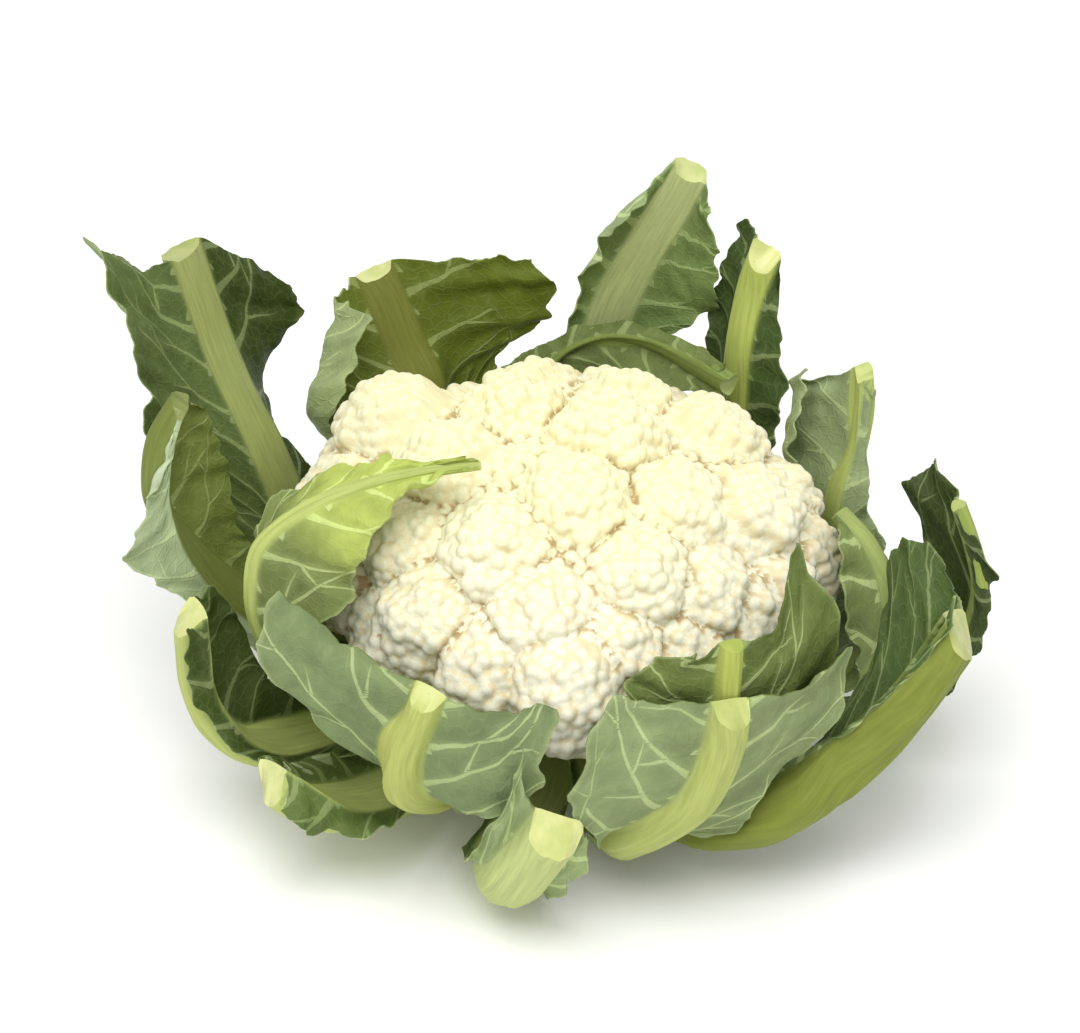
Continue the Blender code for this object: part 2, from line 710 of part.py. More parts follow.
def make_head(collection, cutter, finish):
    """A core with the florets fused to it by one Boolean, then thinned to a few thousand triangles."""
    body = bmesh.new()
    bmesh.ops.create_uvsphere(body, u_segments=CORE_SIDES, v_segments=CORE_RINGS, radius=1.0)
    for vertex in body.verts:
        direction = np.array(vertex.co)
        vertex.co = CENTRE + direction * (head_reach(direction) - CORE_INSET)
    head = linked("head", body, collection, finish)
    knobs = bpy.data.collections.new("knobs")
    bpy.context.scene.collection.children.link(knobs)
    make_knobs(knobs)
    join = head.modifiers.new("florets", "BOOLEAN")
    join.operation = "UNION"
    join.operand_type = "COLLECTION"
    join.collection = knobs
    join.solver = "MANIFOLD"
    bpy.context.view_layer.update()
    fused = bpy.data.meshes.new_from_object(head.evaluated_get(bpy.context.evaluated_depsgraph_get()))
    head.modifiers.clear()
    head.data = fused
    for made in list(knobs.objects):
        bpy.data.objects.remove(made)
    bpy.data.collections.remove(knobs)
    fused.calc_loop_triangles()
    thin = head.modifiers.new("fewer triangles", "DECIMATE")
    thin.ratio = HEAD_TRIANGLES / len(fused.loop_triangles)
    thin.use_collapse_triangulate = True
    cut_by(head, cutter)


def main():
    for made in list(bpy.data.objects):
        bpy.data.objects.remove(made)
    plant = bpy.data.collections.new("cauliflower")
    cutters = bpy.data.collections.new("cutters")
    for collection in (plant, cutters):
        bpy.context.scene.collection.children.link(collection)
    turned("stem", stem_profile(0.0, 0.0), plant, material("stem", STEM_COLOUR, 0.6))
    cutter = turned("stem_clearance", stem_profile(FIT_GAP, CUTTER_DROP), cutters)
    cutter.hide_render = True
    cutter.display_type = "WIRE"
    make_head(plant, cutter, material("head", HEAD_COLOUR, 0.7))
    for name, (body, _, _) in settled_leaves().items():
        make_leaf(name, body, plant, cutter)


main()
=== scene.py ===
"""The look of a cauliflower with its trimmed leaves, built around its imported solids.

The curd is one fine skin of buds over the florets. Each leaf is a fine shell on the same lines as its
solid, with veins, a waved and toothed edge, a round rib and a wet cut. Metres, +Z up.
"""

import math

import bmesh
import bpy
import numpy as np
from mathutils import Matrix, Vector
from mathutils.bvhtree import BVHTree


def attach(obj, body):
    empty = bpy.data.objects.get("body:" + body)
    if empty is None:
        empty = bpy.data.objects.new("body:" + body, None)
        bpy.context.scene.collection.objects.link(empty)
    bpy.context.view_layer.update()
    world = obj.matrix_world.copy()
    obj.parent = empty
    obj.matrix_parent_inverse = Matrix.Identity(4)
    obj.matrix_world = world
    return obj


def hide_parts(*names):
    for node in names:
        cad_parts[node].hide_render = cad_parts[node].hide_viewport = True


bl_info = {
    "name": "Cauliflower",
    "version": (1, 0, 0),
    "blender": (4, 5, 0),
    "location": "View3D > Sidebar > Cauliflower",
    "description": "A budded curd, veined leaves and a studio stage around the packed solids",
    "category": "Object",
}

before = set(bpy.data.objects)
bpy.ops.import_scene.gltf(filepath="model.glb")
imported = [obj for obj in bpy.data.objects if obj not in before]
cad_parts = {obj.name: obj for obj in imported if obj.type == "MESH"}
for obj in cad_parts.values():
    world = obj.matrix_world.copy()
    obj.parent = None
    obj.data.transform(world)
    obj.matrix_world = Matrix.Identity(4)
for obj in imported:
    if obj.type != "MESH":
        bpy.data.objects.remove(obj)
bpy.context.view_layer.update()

MM = 0.001

# The stem, turned about Z
STEM_RADIUS = 27.0 * MM
STEM_FOOT_RADIUS = 24.0 * MM
STEM_TOP = 46.0 * MM
STEM_FOOT_HEIGHT = 12.0 * MM
STEM_SHOULDER = 6.0 * MM
STEM_SIDES = 40
FIT_GAP = 0.35 * MM
CUTTER_DROP = 8.0 * MM

# The head: a dome above its widest ring and a shallow bowl below it
HEAD_CENTRE = 70.0 * MM
HEAD_RADIUS = 82.0 * MM
DOME_HEIGHT = 60.0 * MM
BOWL_DEPTH = 34.0 * MM
CORE_INSET = 10.0 * MM
CORE_SIDES = 24
CORE_RINGS = 14
# Where the head departs from that outline: azimuth and tilt from the top in degrees, rise in
# millimetres, spread in degrees
BULGES = (
    (160, 68, 15, 24),
    (128, 60, -8, 14),
    (62, 52, -5, 12),
    (-13, 88, 8, 20),
    (-95, 106, 10, 16),
)

# The florets: a spiral of lobes over the dome, each a cluster of round knobs
LOBE_COUNT = 41
LOBE_RADIUS = 22.0 * MM
LOWEST_LOBE = 110.0
KNOBS_A_LOBE = 7
KNOB_RADIUS = 9.4 * MM
KNOB_LEAN = 52.0
GOLDEN_ANGLE = math.pi * (3.0 - math.sqrt(5.0))
HEAD_TRIANGLES = 6000

# How finely a leaf is laid out. A column is a share of the rib's half width or of the blade
ROWS = 12
RIB_COLUMNS = (-1.0, -0.8, -0.35, 0.35, 0.8, 1.0)
RIB_FULLNESS = (0.0, 0.62, 0.95, 0.95, 0.62, 0.0)
PLAIN_COLUMNS = (0.3, 0.65, 1.0)
FOLDED_COLUMNS = (0.25, 0.5, 0.75, 1.0)
BLADE_THICKNESS = 1.2 * MM
THINNEST = 0.8 * MM
WING = 2.0 * MM
NORMAL_ROUNDS = 3
BLADE_ROUNDS = 2
EASING_ROUNDS = 40
THINNING = 0.93
# A slanted cut draws one face back by at most this share of the last row's length
MOST_DRAWN = 0.6
RUFFLE = 1.4 * MM
RUFFLE_WAVES = 3.0

# How leaves are kept apart: each is pushed away from the head's centre until it clears what it covers
CENTRE = np.array((0.0, 0.0, HEAD_CENTRE))
LAYER_GAP = 1.6 * MM
HEAD_GAP = 2.2 * MM
PROBES = (3.0 * MM, 6.0 * MM)
PROBE_DIRECTIONS = 6
FAR = 400.0 * MM
SPREADING_ROUNDS = 8
SETTLING_ROUNDS = 3

# The skin of the curd: buds in clusters on each floret, and the mesh that carries them. Shares are
# of a ball's surface, and angles are in radians
LOBE_SIZES = (0.94, 1.06)
LOBE_RISE = 1.8 * MM
BUD_COVER = 0.55
LOBE_COVER = 0.72
CLUSTERS_A_LOBE = 20
CLUSTER_SPREAD = 0.36
CLUSTER_DEPTH = 2.3 * MM
BUDS_A_LOBE = 225
CORE_BUDS = 1500
BUD_JITTER = 0.03
BUD_HOLD = 0.6
BUD_SINK = 0.9
BURIED = 8.0 * MM
CREASE_WIDTH = 1.5 * MM
CREASE_DEPTH = 2.0 * MM
SKIN_LEVELS = 6
SKIN_ROUNDS = 2
FINE_TILT = 98.0

# The fine shell of a leaf: its mesh size, and its steps across each strip of the rib
FINE_STEP = 0.9 * MM
RIB_STEPS = (3, 5, 7, 5, 3)
DEPTH_ROUNDS = 3
SEED = 7

# The waves of a leaf's edge, the swelling between its veins, and the grooves of its rib
LOBE_WAVE = 24.0 * MM
TOOTH_WAVE = 7.0 * MM
TOP_HOLD = 5
FRILL_WAVE = 26.0 * MM
PUFF_REACH = 3.0 * MM
GROOVE = 0.3 * MM
GROOVE_WAVE = 5.0 * MM
INNER_CROWN = 0.7 * MM
RIB_BLEND = 2.0 * MM
LEAF_GLOSS = 0.12

# How a vein grows and narrows, how far from it points are measured, and how wide its ridge is
VEIN_STEP = 1.5 * MM
VEIN_WANDER = 0.02
VEIN_CLEAR = 5.0 * MM
VEIN_JOIN = 1.8 * MM
VEIN_FLARE = 1.3
FLARE_LENGTH = 5.0 * MM
VEIN_REACH = 6.0 * MM
VEIN_FADE = 2.6 * MM
VEIN_SPREAD = 1.1 * MM
VEIN_GLOW = 1.9 * MM


def leaf(rib, left, right, breadth, depth, slant, colour):
    """A leaf as smooth lines from the stem to its cut top. Each point is an azimuth in degrees, a
    radius and a height in millimetres. rib runs along the middle of the inner face. left and right,
    as seen from outside, hold the blade's lines from the one nearest the rib to the margin. breadth
    and depth are the rib's section in millimetres at the stem, halfway up and at the cut. slant is
    how far the cut is drawn back on its outer side, or on its inner side where it is below zero,
    as a share of the rib's depth."""
    return {
        "rib": rib,
        "left": left,
        "right": right,
        "breadth": breadth,
        "depth": depth,
        "slant": slant,
        "colour": colour,
    }


# From the innermost leaf to the outermost: each lies outside those named before it
LEAVES = {
    "leaf_left_inner": leaf(
        rib=(
            (-150, 22, 42), (-156, 60, 38), (-160, 90, 54), (-156, 102, 95), (-157, 98, 103),
            (-157, 87, 111), (-152, 60, 120), (-128, 41, 128),
        ),
        left=(
            (
                (-166, 96, 101), (-170, 83, 110), (-168, 68, 116), (-161, 56, 123), (-147, 48, 125),
                (-130, 41, 128),
            ),
        ),
        right=(
            (
                (-142, 98, 70), (-140, 94, 88), (-139, 85, 90), (-139, 76, 96), (-140, 77, 105),
                (-136, 72, 116), (-136, 60, 125), (-129, 42, 128),
            ),
        ),
        breadth=(14, 7, 2.5),
        depth=(8, 4, 2),
        slant=0.0,
        colour="young",
    ),
    "leaf_right_inner": leaf(
        rib=((-4, 22, 42), (-8, 60, 38), (-14, 88, 44), (-15, 100, 65), (-11, 94, 84), (-6, 82, 93)),
        left=(((-27, 101, 61), (-25, 90, 74), (-20, 83, 89), (-10, 78, 95)),),
        right=(((0, 104, 35), (3, 102, 51), (5, 97, 70), (1, 86, 87)),),
        breadth=(14, 12, 7),
        depth=(8, 7, 5),
        slant=0.0,
        colour="outer",
    ),
    "leaf_front_right_inner": leaf(
        rib=((-50, 22, 42), (-52, 60, 38), (-56, 80, 50), (-61, 94, 76), (-59, 91, 98)),
        left=(((-74, 89, 68), (-80, 89, 84), (-81, 83, 90), (-67, 88, 96)),),
        right=(
            ((-49, 96, 64), (-45, 93, 82), (-49, 87, 94)),
            ((-38, 94, 56), (-33, 97, 77), (-32, 90, 98), (-35, 80, 115)),
        ),
        breadth=(14, 10, 7),
        depth=(8, 6, 5),
        slant=0.5,
        colour="young",
    ),
    "leaf_back_low": leaf(
        rib=(
            (100, 22, 42), (100, 60, 38), (98, 88, 58), (91, 96, 90), (77, 95, 96), (64, 89, 93),
            (52, 86, 91),
        ),
        left=(((85, 80, 66), (82, 81, 100), (73, 67, 95), (63, 67, 94), (53, 80, 89)),),
        right=(((110, 92, 70), (91, 100, 98), (75, 102, 105), (65, 95, 97), (53, 93, 91)),),
        breadth=(14, 8, 8),
        depth=(8, 4.5, 6),
        slant=-0.5,
        colour="inner",
    ),
    "leaf_back_left": leaf(
        rib=((127, 22, 29), (123, 60, 28), (121, 88, 46), (119, 89, 76), (121, 102, 97), (123, 114, 119)),
        left=(
            ((112, 88, 60), (108, 99, 89), (107, 103, 112), (107, 104, 122)),
            ((104, 90, 66), (99, 97, 87), (91, 94, 93), (90, 94, 108), (96, 99, 123)),
        ),
        right=(
            ((134, 88, 60), (140, 106, 70), (144, 111, 83), (136, 110, 100), (129, 113, 115)),
            ((140, 90, 62), (139, 98, 77), (139, 92, 92), (132, 88, 112), (128, 104, 119)),
        ),
        breadth=(15, 14, 13),
        depth=(10, 9, 8),
        slant=-0.5,
        colour="inner",
    ),
    "leaf_left_curl": leaf(
        rib=(
            (164, 22, 42), (170, 60, 38), (178, 96, 50), (-177, 121, 90), (180, 124, 108),
            (177, 115, 126),
        ),
        left=(((162, 94, 60), (172, 97, 61), (168, 103, 76), (166, 108, 95), (171, 110, 116)),),
        right=(
            ((-172, 94, 46), (-175, 112, 66), (-177, 123, 75), (-178, 123, 94), (179, 118, 118)),
            (
                (-168, 96, 48), (-171, 116, 77), (-173, 126, 68), (-176, 144, 76), (-177, 134, 86),
                (-178, 121, 104),
            ),
        ),
        breadth=(14, 16, 12),
        depth=(8, 8, 6),
        slant=-0.3,
        colour="outer",
    ),
    "leaf_front_left": leaf(
        rib=((-116, 22, 29), (-119, 55, 29), (-121, 76, 33), (-120, 97, 53), (-114, 96, 88)),
        left=(
            (
                (-124, 108, 60), (-130, 111, 65), (-136, 113, 64), (-141, 112, 74), (-147, 110, 85),
                (-150, 104, 93), (-150, 95, 102),
            ),
        ),
        right=(
            ((-115, 97, 41), (-108, 98, 31), (-99, 98, 40), (-92, 98, 59), (-91, 96, 74), (-90, 92, 87)),
        ),
        breadth=(15, 12, 10),
        depth=(10, 8, 7),
        slant=0.8,
        colour="outer",
    ),
    "leaf_front_right": leaf(
        rib=((-70, 22, 29), (-77, 55, 25), (-80, 76, 24), (-68, 95, 47), (-64, 98, 65), (-62, 97, 84)),
        left=(((-84, 89, 27), (-90, 95, 48), (-91, 96, 65), (-87, 94, 81), (-83, 90, 94)),),
        right=(
            ((-62, 95, 27), (-53, 101, 29), (-53, 100, 46), (-41, 103, 57), (-37, 104, 69), (-33, 103, 86)),
        ),
        breadth=(15, 15, 11),
        depth=(10, 9, 8),
        slant=0.8,
        colour="outer",
    ),
    "leaf_right_back": leaf(
        rib=((15, 22, 29), (16, 60, 28), (18, 86, 45), (16, 89, 77), (20, 98, 99), (24, 101, 117)),
        left=(((8, 91, 79), (16, 99, 98), (19, 103, 107), (22, 105, 112)),),
        right=(
            ((26, 86, 56), (33, 82, 58), (40, 86, 74), (41, 88, 91), (36, 93, 104)),
            ((28, 88, 60), (25, 81, 64), (22, 81, 81), (19, 84, 101), (22, 92, 124)),
        ),
        breadth=(15, 9, 7),
        depth=(9, 6, 5),
        slant=-0.5,
        colour="outer",
    ),
    "leaf_back": leaf(
        rib=((77, 22, 29), (82, 60, 28), (85, 92, 46), (83, 105, 86), (76, 107, 121), (68, 110, 152)),
        left=(
            ((66, 97, 62), (74, 102, 88), (61, 105, 100), (57, 103, 113), (61, 105, 128), (65, 108, 139)),
        ),
        right=(
            (
                (97, 97, 62), (93, 104, 82), (91, 106, 97), (88, 104, 117), (83, 103, 134),
                (76, 102, 137), (72, 105, 146),
            ),
            (
                (96, 96, 62), (88, 104, 84), (85, 104, 100), (82, 93, 121), (79, 94, 135),
                (74, 99, 139), (72, 104, 145),
            ),
        ),
        breadth=(15, 15, 12),
        depth=(10, 8, 7),
        slant=-0.6,
        colour="inner",
    ),
    "leaf_left_mid": leaf(
        rib=(
            (-165, 22, 29), (-161, 60, 27), (-158, 92, 28), (-154, 108, 38), (-157, 116, 51),
            (-158, 118, 85),
        ),
        left=(
            ((-160, 100, 46), (-163, 105, 56), (-164, 105, 68), (-161, 112, 87)),
            ((-156, 89, 41), (-161, 92, 54), (-164, 95, 66), (-164, 103, 79)),
        ),
        right=(((-146, 111, 38), (-149, 119, 43), (-152, 126, 56), (-155, 130, 70), (-157, 126, 85)),),
        breadth=(15, 14, 13),
        depth=(10, 10, 9),
        slant=1.2,
        colour="outer",
    ),
    "leaf_left_tall": leaf(
        rib=((150, 22, 17), (151, 60, 16), (152, 90, 38), (156, 103, 82), (155, 119, 113), (154, 132, 149)),
        left=(
            ((146, 92, 56), (148, 116, 92), (144, 120, 115), (142, 123, 135)),
            ((142, 92, 62), (144, 122, 87), (139, 121, 100), (134, 117, 112), (137, 123, 125)),
        ),
        right=(
            ((160, 92, 50), (166, 114, 97), (164, 124, 119), (164, 135, 141), (162, 139, 155)),
            (
                (166, 94, 52), (175, 116, 105), (174, 124, 123), (174, 131, 141), (172, 137, 158),
                (171, 146, 180),
            ),
        ),
        breadth=(16, 17, 18),
        depth=(11, 11, 8),
        slant=-0.3,
        colour="inner",
    ),
    "leaf_back_right": leaf(
        rib=((55, 22, 17), (55, 60, 16), (55, 92, 40), (55, 98, 98), (55, 103, 114), (53, 107, 131)),
        left=(((46, 94, 56), (41, 95, 90), (45, 102, 103), (48, 105, 114), (49, 108, 125)),),
        right=(
            ((64, 94, 62), (61, 103, 87), (63, 104, 109), (60, 107, 125), (58, 109, 137)),
            ((68, 94, 66), (65, 97, 84), (66, 98, 95), (65, 102, 109), (63, 106, 123), (63, 106, 135)),
        ),
        breadth=(16, 11, 11),
        depth=(11, 8, 8),
        slant=-1.0,
        colour="inner",
    ),
    "leaf_right_far": leaf(
        rib=((-3, 22, 18), (-6, 62, 16), (-8, 98, 24), (-6, 120, 41), (-5, 127, 68), (-4, 119, 97)),
        left=(((-6, 115, 23), (-4, 129, 41), (-5, 136, 72), (-4, 128, 84)),),
        right=(((3, 110, 15), (7, 110, 45), (9, 113, 71), (12, 105, 91), (12, 112, 97), (2, 118, 96)),),
        breadth=(15, 11, 7),
        depth=(11, 7, 4),
        slant=0.0,
        colour="inner",
    ),
    "leaf_front": leaf(
        rib=((-97, 22, 18), (-101, 52, 15), (-104, 74, 14), (-100, 92, 21), (-91, 100, 51)),
        left=(((-112, 70, 14), (-109, 99, 28), (-105, 102, 41), (-101, 103, 59), (-97, 102, 83)),),
        right=(((-92, 74, 12), (-93, 88, 4), (-87, 93, 19), (-84, 98, 34), (-86, 99, 44)),),
        breadth=(15, 21, 16),
        depth=(11, 11, 12),
        slant=1.0,
        colour="outer",
    ),
    "leaf_right_long": leaf(
        rib=(
            (-51, 22, 18), (-58, 60, 15), (-52, 91, 31), (-42, 102, 42), (-36, 110, 53), (-31, 118, 70),
            (-26, 127, 92),
        ),
        left=(
            (
                (-64, 74, 12), (-47, 90, 12), (-32, 103, 17), (-27, 110, 24), (-21, 120, 29),
                (-17, 131, 34), (-16, 135, 49), (-18, 135, 71), (-20, 130, 99),
            ),
        ),
        right=(
            (
                (-48, 74, 22), (-40, 93, 37), (-33, 102, 44), (-31, 98, 62), (-23, 104, 70),
                (-17, 97, 91), (-15, 93, 112), (-17, 109, 105), (-19, 120, 99),
            ),
        ),
        breadth=(15, 17, 16),
        depth=(11, 12, 13),
        slant=1.0,
        colour="outer",
    ),
    "leaf_left_low": leaf(
        rib=((-143, 22, 18), (-141, 58, 16), (-139, 80, 20), (-137, 100, 33), (-140, 114, 48)),
        left=(((-150, 72, 18), (-138, 87, 33), (-140, 98, 43), (-140, 110, 50)),),
        right=(((-131, 70, 17), (-122, 95, 31), (-128, 107, 28), (-132, 114, 25), (-137, 123, 39)),),
        breadth=(15, 17, 15),
        depth=(11, 12, 12),
        slant=1.2,
        colour="outer",
    ),
}


def unit(vectors):
    return vectors / np.linalg.norm(vectors, axis=-1, keepdims=True)


def placed(points):
    """Points in azimuth, radius and height as x, y and z in metres."""
    azimuth, radius, height = np.array(points, float).T
    azimuth = np.radians(azimuth)
    return np.stack((radius * np.cos(azimuth), radius * np.sin(azimuth), height), 1) * MM


def curve(points, knots, where):
    """The smooth curve through points given at rising knots, read at each of where."""
    points = np.asarray(points, float)
    step = np.diff(knots)
    slope = np.diff(points, axis=0) / step[:, None]
    tangent = np.empty_like(points)
    tangent[0], tangent[-1] = slope[0], slope[-1]
    before, after = step[:-1, None], step[1:, None]
    tangent[1:-1] = (slope[:-1] * after + slope[1:] * before) / (before + after)
    start = np.clip(np.searchsorted(knots, where, side="right") - 1, 0, len(step) - 1)
    long = step[start][:, None]
    f = (where - knots[start])[:, None] / long
    rise = 3 * f**2 - 2 * f**3
    lead = (f - 2 * f**2 + f**3) * long * tangent[start]
    tail = (f**3 - f**2) * long * tangent[start + 1]
    return points[start] * (1 - rise) + points[start + 1] * rise + lead + tail


def even_line(points, where):
    """The smooth line through points, read at even lengths, with its direction there."""
    gaps = np.linalg.norm(np.diff(points, axis=0), axis=1)
    knots = np.concatenate(((0.0,), np.cumsum(np.sqrt(gaps))))
    fine = curve(points, knots, np.linspace(0.0, knots[-1], 241))
    length = np.concatenate(((0.0,), np.cumsum(np.linalg.norm(np.diff(fine, axis=0), axis=1))))
    slope = np.gradient(fine, length, axis=0)
    along = where * length[-1]
    places = [np.interp(along, length, fine[:, axis]) for axis in range(3)]
    ahead = [np.interp(along, length, slope[:, axis]) for axis in range(3)]
    return np.stack(places, 1), unit(np.stack(ahead, 1))


def eased(values, where):
    """Evenly spaced values as a smooth curve from 0 to 1."""
    values = np.array(values, float)[:, None]
    return curve(values, np.linspace(0.0, 1.0, len(values)), where)


def columns_of(lines):
    """Where the points of one side lie between the rib's edge and the margin."""
    return np.array(FOLDED_COLUMNS if len(lines) > 1 else PLAIN_COLUMNS)


def blade(lines, edge, side, where):
    """One side of the blade between the rib's edge and its margin, as rows of points."""
    columns = columns_of(lines)
    around = np.arctan2(edge[:, 1], edge[:, 0])
    strips = [edge]
    for number, points in enumerate(lines, 1):
        least = WING * number / len(lines)
        strip = even_line(np.vstack((edge[0] + side[0] * least, placed(points))), where)[0]
        beside = ((strip - edge) * side).sum(1, keepdims=True)
        strips.append(strip + side * np.maximum(0.0, least - beside))
    rounded = []
    for strip in strips:
        turn = np.arctan2(strip[:, 1], strip[:, 0]) - around
        turn = (turn + math.pi) % (2 * math.pi) - math.pi + around
        rounded.append(np.stack((turn, np.hypot(strip[:, 0], strip[:, 1]), strip[:, 2]), 1).reshape(-1))
    knots = np.linspace(0.0, 1.0, len(strips))
    turn, radius, height = curve(rounded, knots, columns).reshape(len(columns), -1, 3).T
    return np.stack((radius * np.cos(turn), radius * np.sin(turn), height), -1)


def leaf_grid(spec, order):
    """A leaf's inner face: rows of points from the stem to the cut, from the right to the left."""
    where = np.linspace(0.0, 1.0, ROWS)
    places, ahead = even_line(placed(spec["rib"]), where)
    inward = CENTRE - places
    inward = unit(inward - (inward * ahead).sum(1, keepdims=True) * ahead)
    across = np.cross(ahead, inward)
    half = eased(spec["breadth"], where) * 0.5 * MM
    left = blade(spec["left"], places + half * across, across, where)
    right = blade(spec["right"], places - half * across, -across, where)
    middle = places[:, None] + (half * np.array(RIB_COLUMNS))[..., None] * across[:, None]
    grid = np.concatenate((right[:, ::-1], middle, left), axis=1)
    eased_grid = smoothed(grid, BLADE_ROUNDS)
    loose = np.ones(grid.shape[1], bool)
    loose[right.shape[1] : right.shape[1] + len(RIB_COLUMNS)] = False
    loose[0] = loose[-1] = False
    grid[1:-1, loose] = eased_grid[1:-1, loose]
    share = (columns_of(spec["right"])[::-1], np.zeros(len(RIB_COLUMNS)), columns_of(spec["left"]))
    share = np.concatenate(share)
    wave = np.sin(2 * math.pi * RUFFLE_WAVES * where + order)[:, None] * share**2 * where[:, None] ** 0.5
    return grid + grid_normals(grid) * (wave * RUFFLE)[..., None]


def smoothed(values, rounds):
    """A grid's values, each averaged with its neighbours."""
    for _ in range(rounds):
        ring = np.pad(values, ((1, 1), (1, 1), (0, 0)), mode="edge")
        near = (ring[:-2, 1:-1] + ring[2:, 1:-1] + ring[1:-1, :-2] + ring[1:-1, 2:]) / 4
        values = (values + near) / 2
    return values


def depths(spec):
    """How thick the leaf is outwards from its inner face, at each point of its grid."""
    deep = eased(spec["depth"], np.linspace(0.0, 1.0, ROWS)) * MM
    rib = BLADE_THICKNESS + (deep - BLADE_THICKNESS) * np.array(RIB_FULLNESS)
    sides = [np.full((ROWS, len(columns_of(spec[side]))), BLADE_THICKNESS) for side in ("right", "left")]
    return np.concatenate((sides[0], rib, sides[1]), axis=1)


def grid_normals(grid):
    return unit(np.cross(np.gradient(grid, axis=1), np.gradient(grid, axis=0)))


def leaf_body(rows, columns):
    """A closed shell of triangles: a grid, a reversed copy of it, and a band that joins their edges."""
    body = bmesh.new()
    bmesh.ops.create_grid(body, x_segments=columns - 1, y_segments=rows - 1, size=1.0)
    bmesh.ops.triangulate(body, faces=body.faces[:])
    copy = bmesh.ops.duplicate(body, geom=body.verts[:] + body.edges[:] + body.faces[:])
    for part in copy["geom"]:
        if isinstance(part, bmesh.types.BMVert):
            part.co.z -= 1.0
    copied = [part for part in copy["geom"] if isinstance(part, bmesh.types.BMFace)]
    bmesh.ops.reverse_faces(body, faces=copied)
    band = bmesh.ops.bridge_loops(body, edges=[edge for edge in body.edges if edge.is_boundary])
    bmesh.ops.triangulate(body, faces=band["faces"])
    body.verts.index_update()
    body.faces.ensure_lookup_table()
    return body


def tangled(body, inner, outer):
    """Puts the shell's points in place, and tells which rows and columns lie on faces that cross."""
    for vertex, place in zip(body.verts, np.concatenate((inner.reshape(-1, 3), outer.reshape(-1, 3)))):
        vertex.co = place
    tree = BVHTree.FromBMesh(body)
    crossing = np.zeros(inner.shape[0] * inner.shape[1], bool)
    for first, second in tree.overlap(tree):
        corners = {vertex.index for vertex in body.faces[first].verts}
        others = {vertex.index for vertex in body.faces[second].verts}
        if corners.isdisjoint(others):
            crossing[[index % len(crossing) for index in corners | others]] = True
    return crossing.reshape(inner.shape[:2])


def cut_across(inner, outer, deep, slant):
    """Both faces, one drawn back at the end, so that the stalk is cut at a slant: the cut faces
    outwards for a slant above zero, and inwards for one below."""
    ahead = inner[-1] - inner[-2]
    back = np.maximum(deep[-1] - BLADE_THICKNESS, 0.0) * abs(slant)
    back = np.minimum(back, MOST_DRAWN * np.linalg.norm(ahead, axis=1))
    faces = [inner.copy(), outer.copy()]
    faces[int(slant > 0)][-1] -= unit(ahead) * back[:, None]
    return faces


def untangled(body, grid, spec):
    """The leaf's middle lines with its inner and outer face, eased and thinned wherever the
    shell would cross itself."""
    deep = depths(spec)
    for _ in range(EASING_ROUNDS):
        ways = unit(smoothed(grid_normals(grid), NORMAL_ROUNDS))
        inner, outer = cut_across(grid, grid - ways * deep[..., None], deep, spec["slant"])
        crossing = tangled(body, inner, outer)
        if not crossing.any():
            break
        crossing = smoothed(crossing[..., None].astype(float), 1)[..., 0] > 0
        grid = np.where(crossing[..., None], smoothed(grid, 1), grid)
        deep = np.where(crossing, np.maximum(deep * THINNING, THINNEST), deep)
    return grid, inner, outer


def tree_of(*grids):
    """One search tree over grids of points, each joined into faces."""
    points, faces = [], []
    for grid in grids:
        rows, columns = grid.shape[:2]
        number = np.arange(rows * columns).reshape(rows, columns) + len(points)
        quads = np.stack((number[:-1, :-1], number[1:, :-1], number[1:, 1:], number[:-1, 1:]), -1)
        faces.extend(quads.reshape(-1, 4).tolist())
        points.extend(grid.reshape(-1, 3).tolist())
    return BVHTree.FromPolygons(points, faces)


def toward(azimuth, tilt):
    """The direction at an azimuth and a tilt from the top, both in radians."""
    flat = math.sin(tilt)
    return np.array((flat * math.cos(azimuth), flat * math.sin(azimuth), math.cos(tilt)))


def head_reach(direction):
    """How far the head's outline lies from its centre in a direction."""
    height = DOME_HEIGHT if direction[2] >= 0 else BOWL_DEPTH
    reach = 1 / np.linalg.norm(direction / (HEAD_RADIUS, HEAD_RADIUS, height))
    for azimuth, tilt, rise, spread in BULGES:
        middle = toward(math.radians(azimuth), math.radians(tilt))
        apart = math.degrees(math.acos(min(1.0, direction @ middle)))
        reach += rise * MM * math.exp(-((apart / spread) ** 2))
    return reach


def needed_push(place, covered):
    """How far a point has to move outwards to clear the head and the leaves that it covers."""
    ray = place - CENTRE
    far = np.linalg.norm(ray)
    ray /= far
    limit = head_reach(ray) + HEAD_GAP
    aside = unit(np.cross(ray, (0.3, 0.2, 0.9)))
    over = np.cross(ray, aside)
    shifts = [0 * aside]
    for number in range(PROBE_DIRECTIONS):
        turn = 2 * math.pi * number / PROBE_DIRECTIONS
        shifts += [(aside * math.cos(turn) + over * math.sin(turn)) * probe for probe in PROBES]
    for shift in shifts:
        probe = unit(place + shift - CENTRE)
        for tree in covered:
            hit = tree.ray_cast(Vector(CENTRE + probe * FAR), Vector(-probe), FAR)
            if hit[0] is not None:
                limit = max(limit, FAR - hit[3] + LAYER_GAP)
    return max(0.0, limit - far)


def clear_of(grid, covered):
    """The grid, moved outwards where it has to be, with the move eased into its surroundings."""
    need = np.apply_along_axis(needed_push, 2, grid, covered)
    need[0] = 0.0
    push = need.copy()
    for _ in range(SPREADING_ROUNDS):
        ring = np.pad(push, 1, mode="edge")
        near = (ring[:-2, 1:-1] + ring[2:, 1:-1] + ring[1:-1, :-2] + ring[1:-1, 2:]) / 4
        push = np.maximum(need, (push + near) / 2)
        push[0] = 0.0
    return grid + unit(grid - CENTRE) * push[..., None]


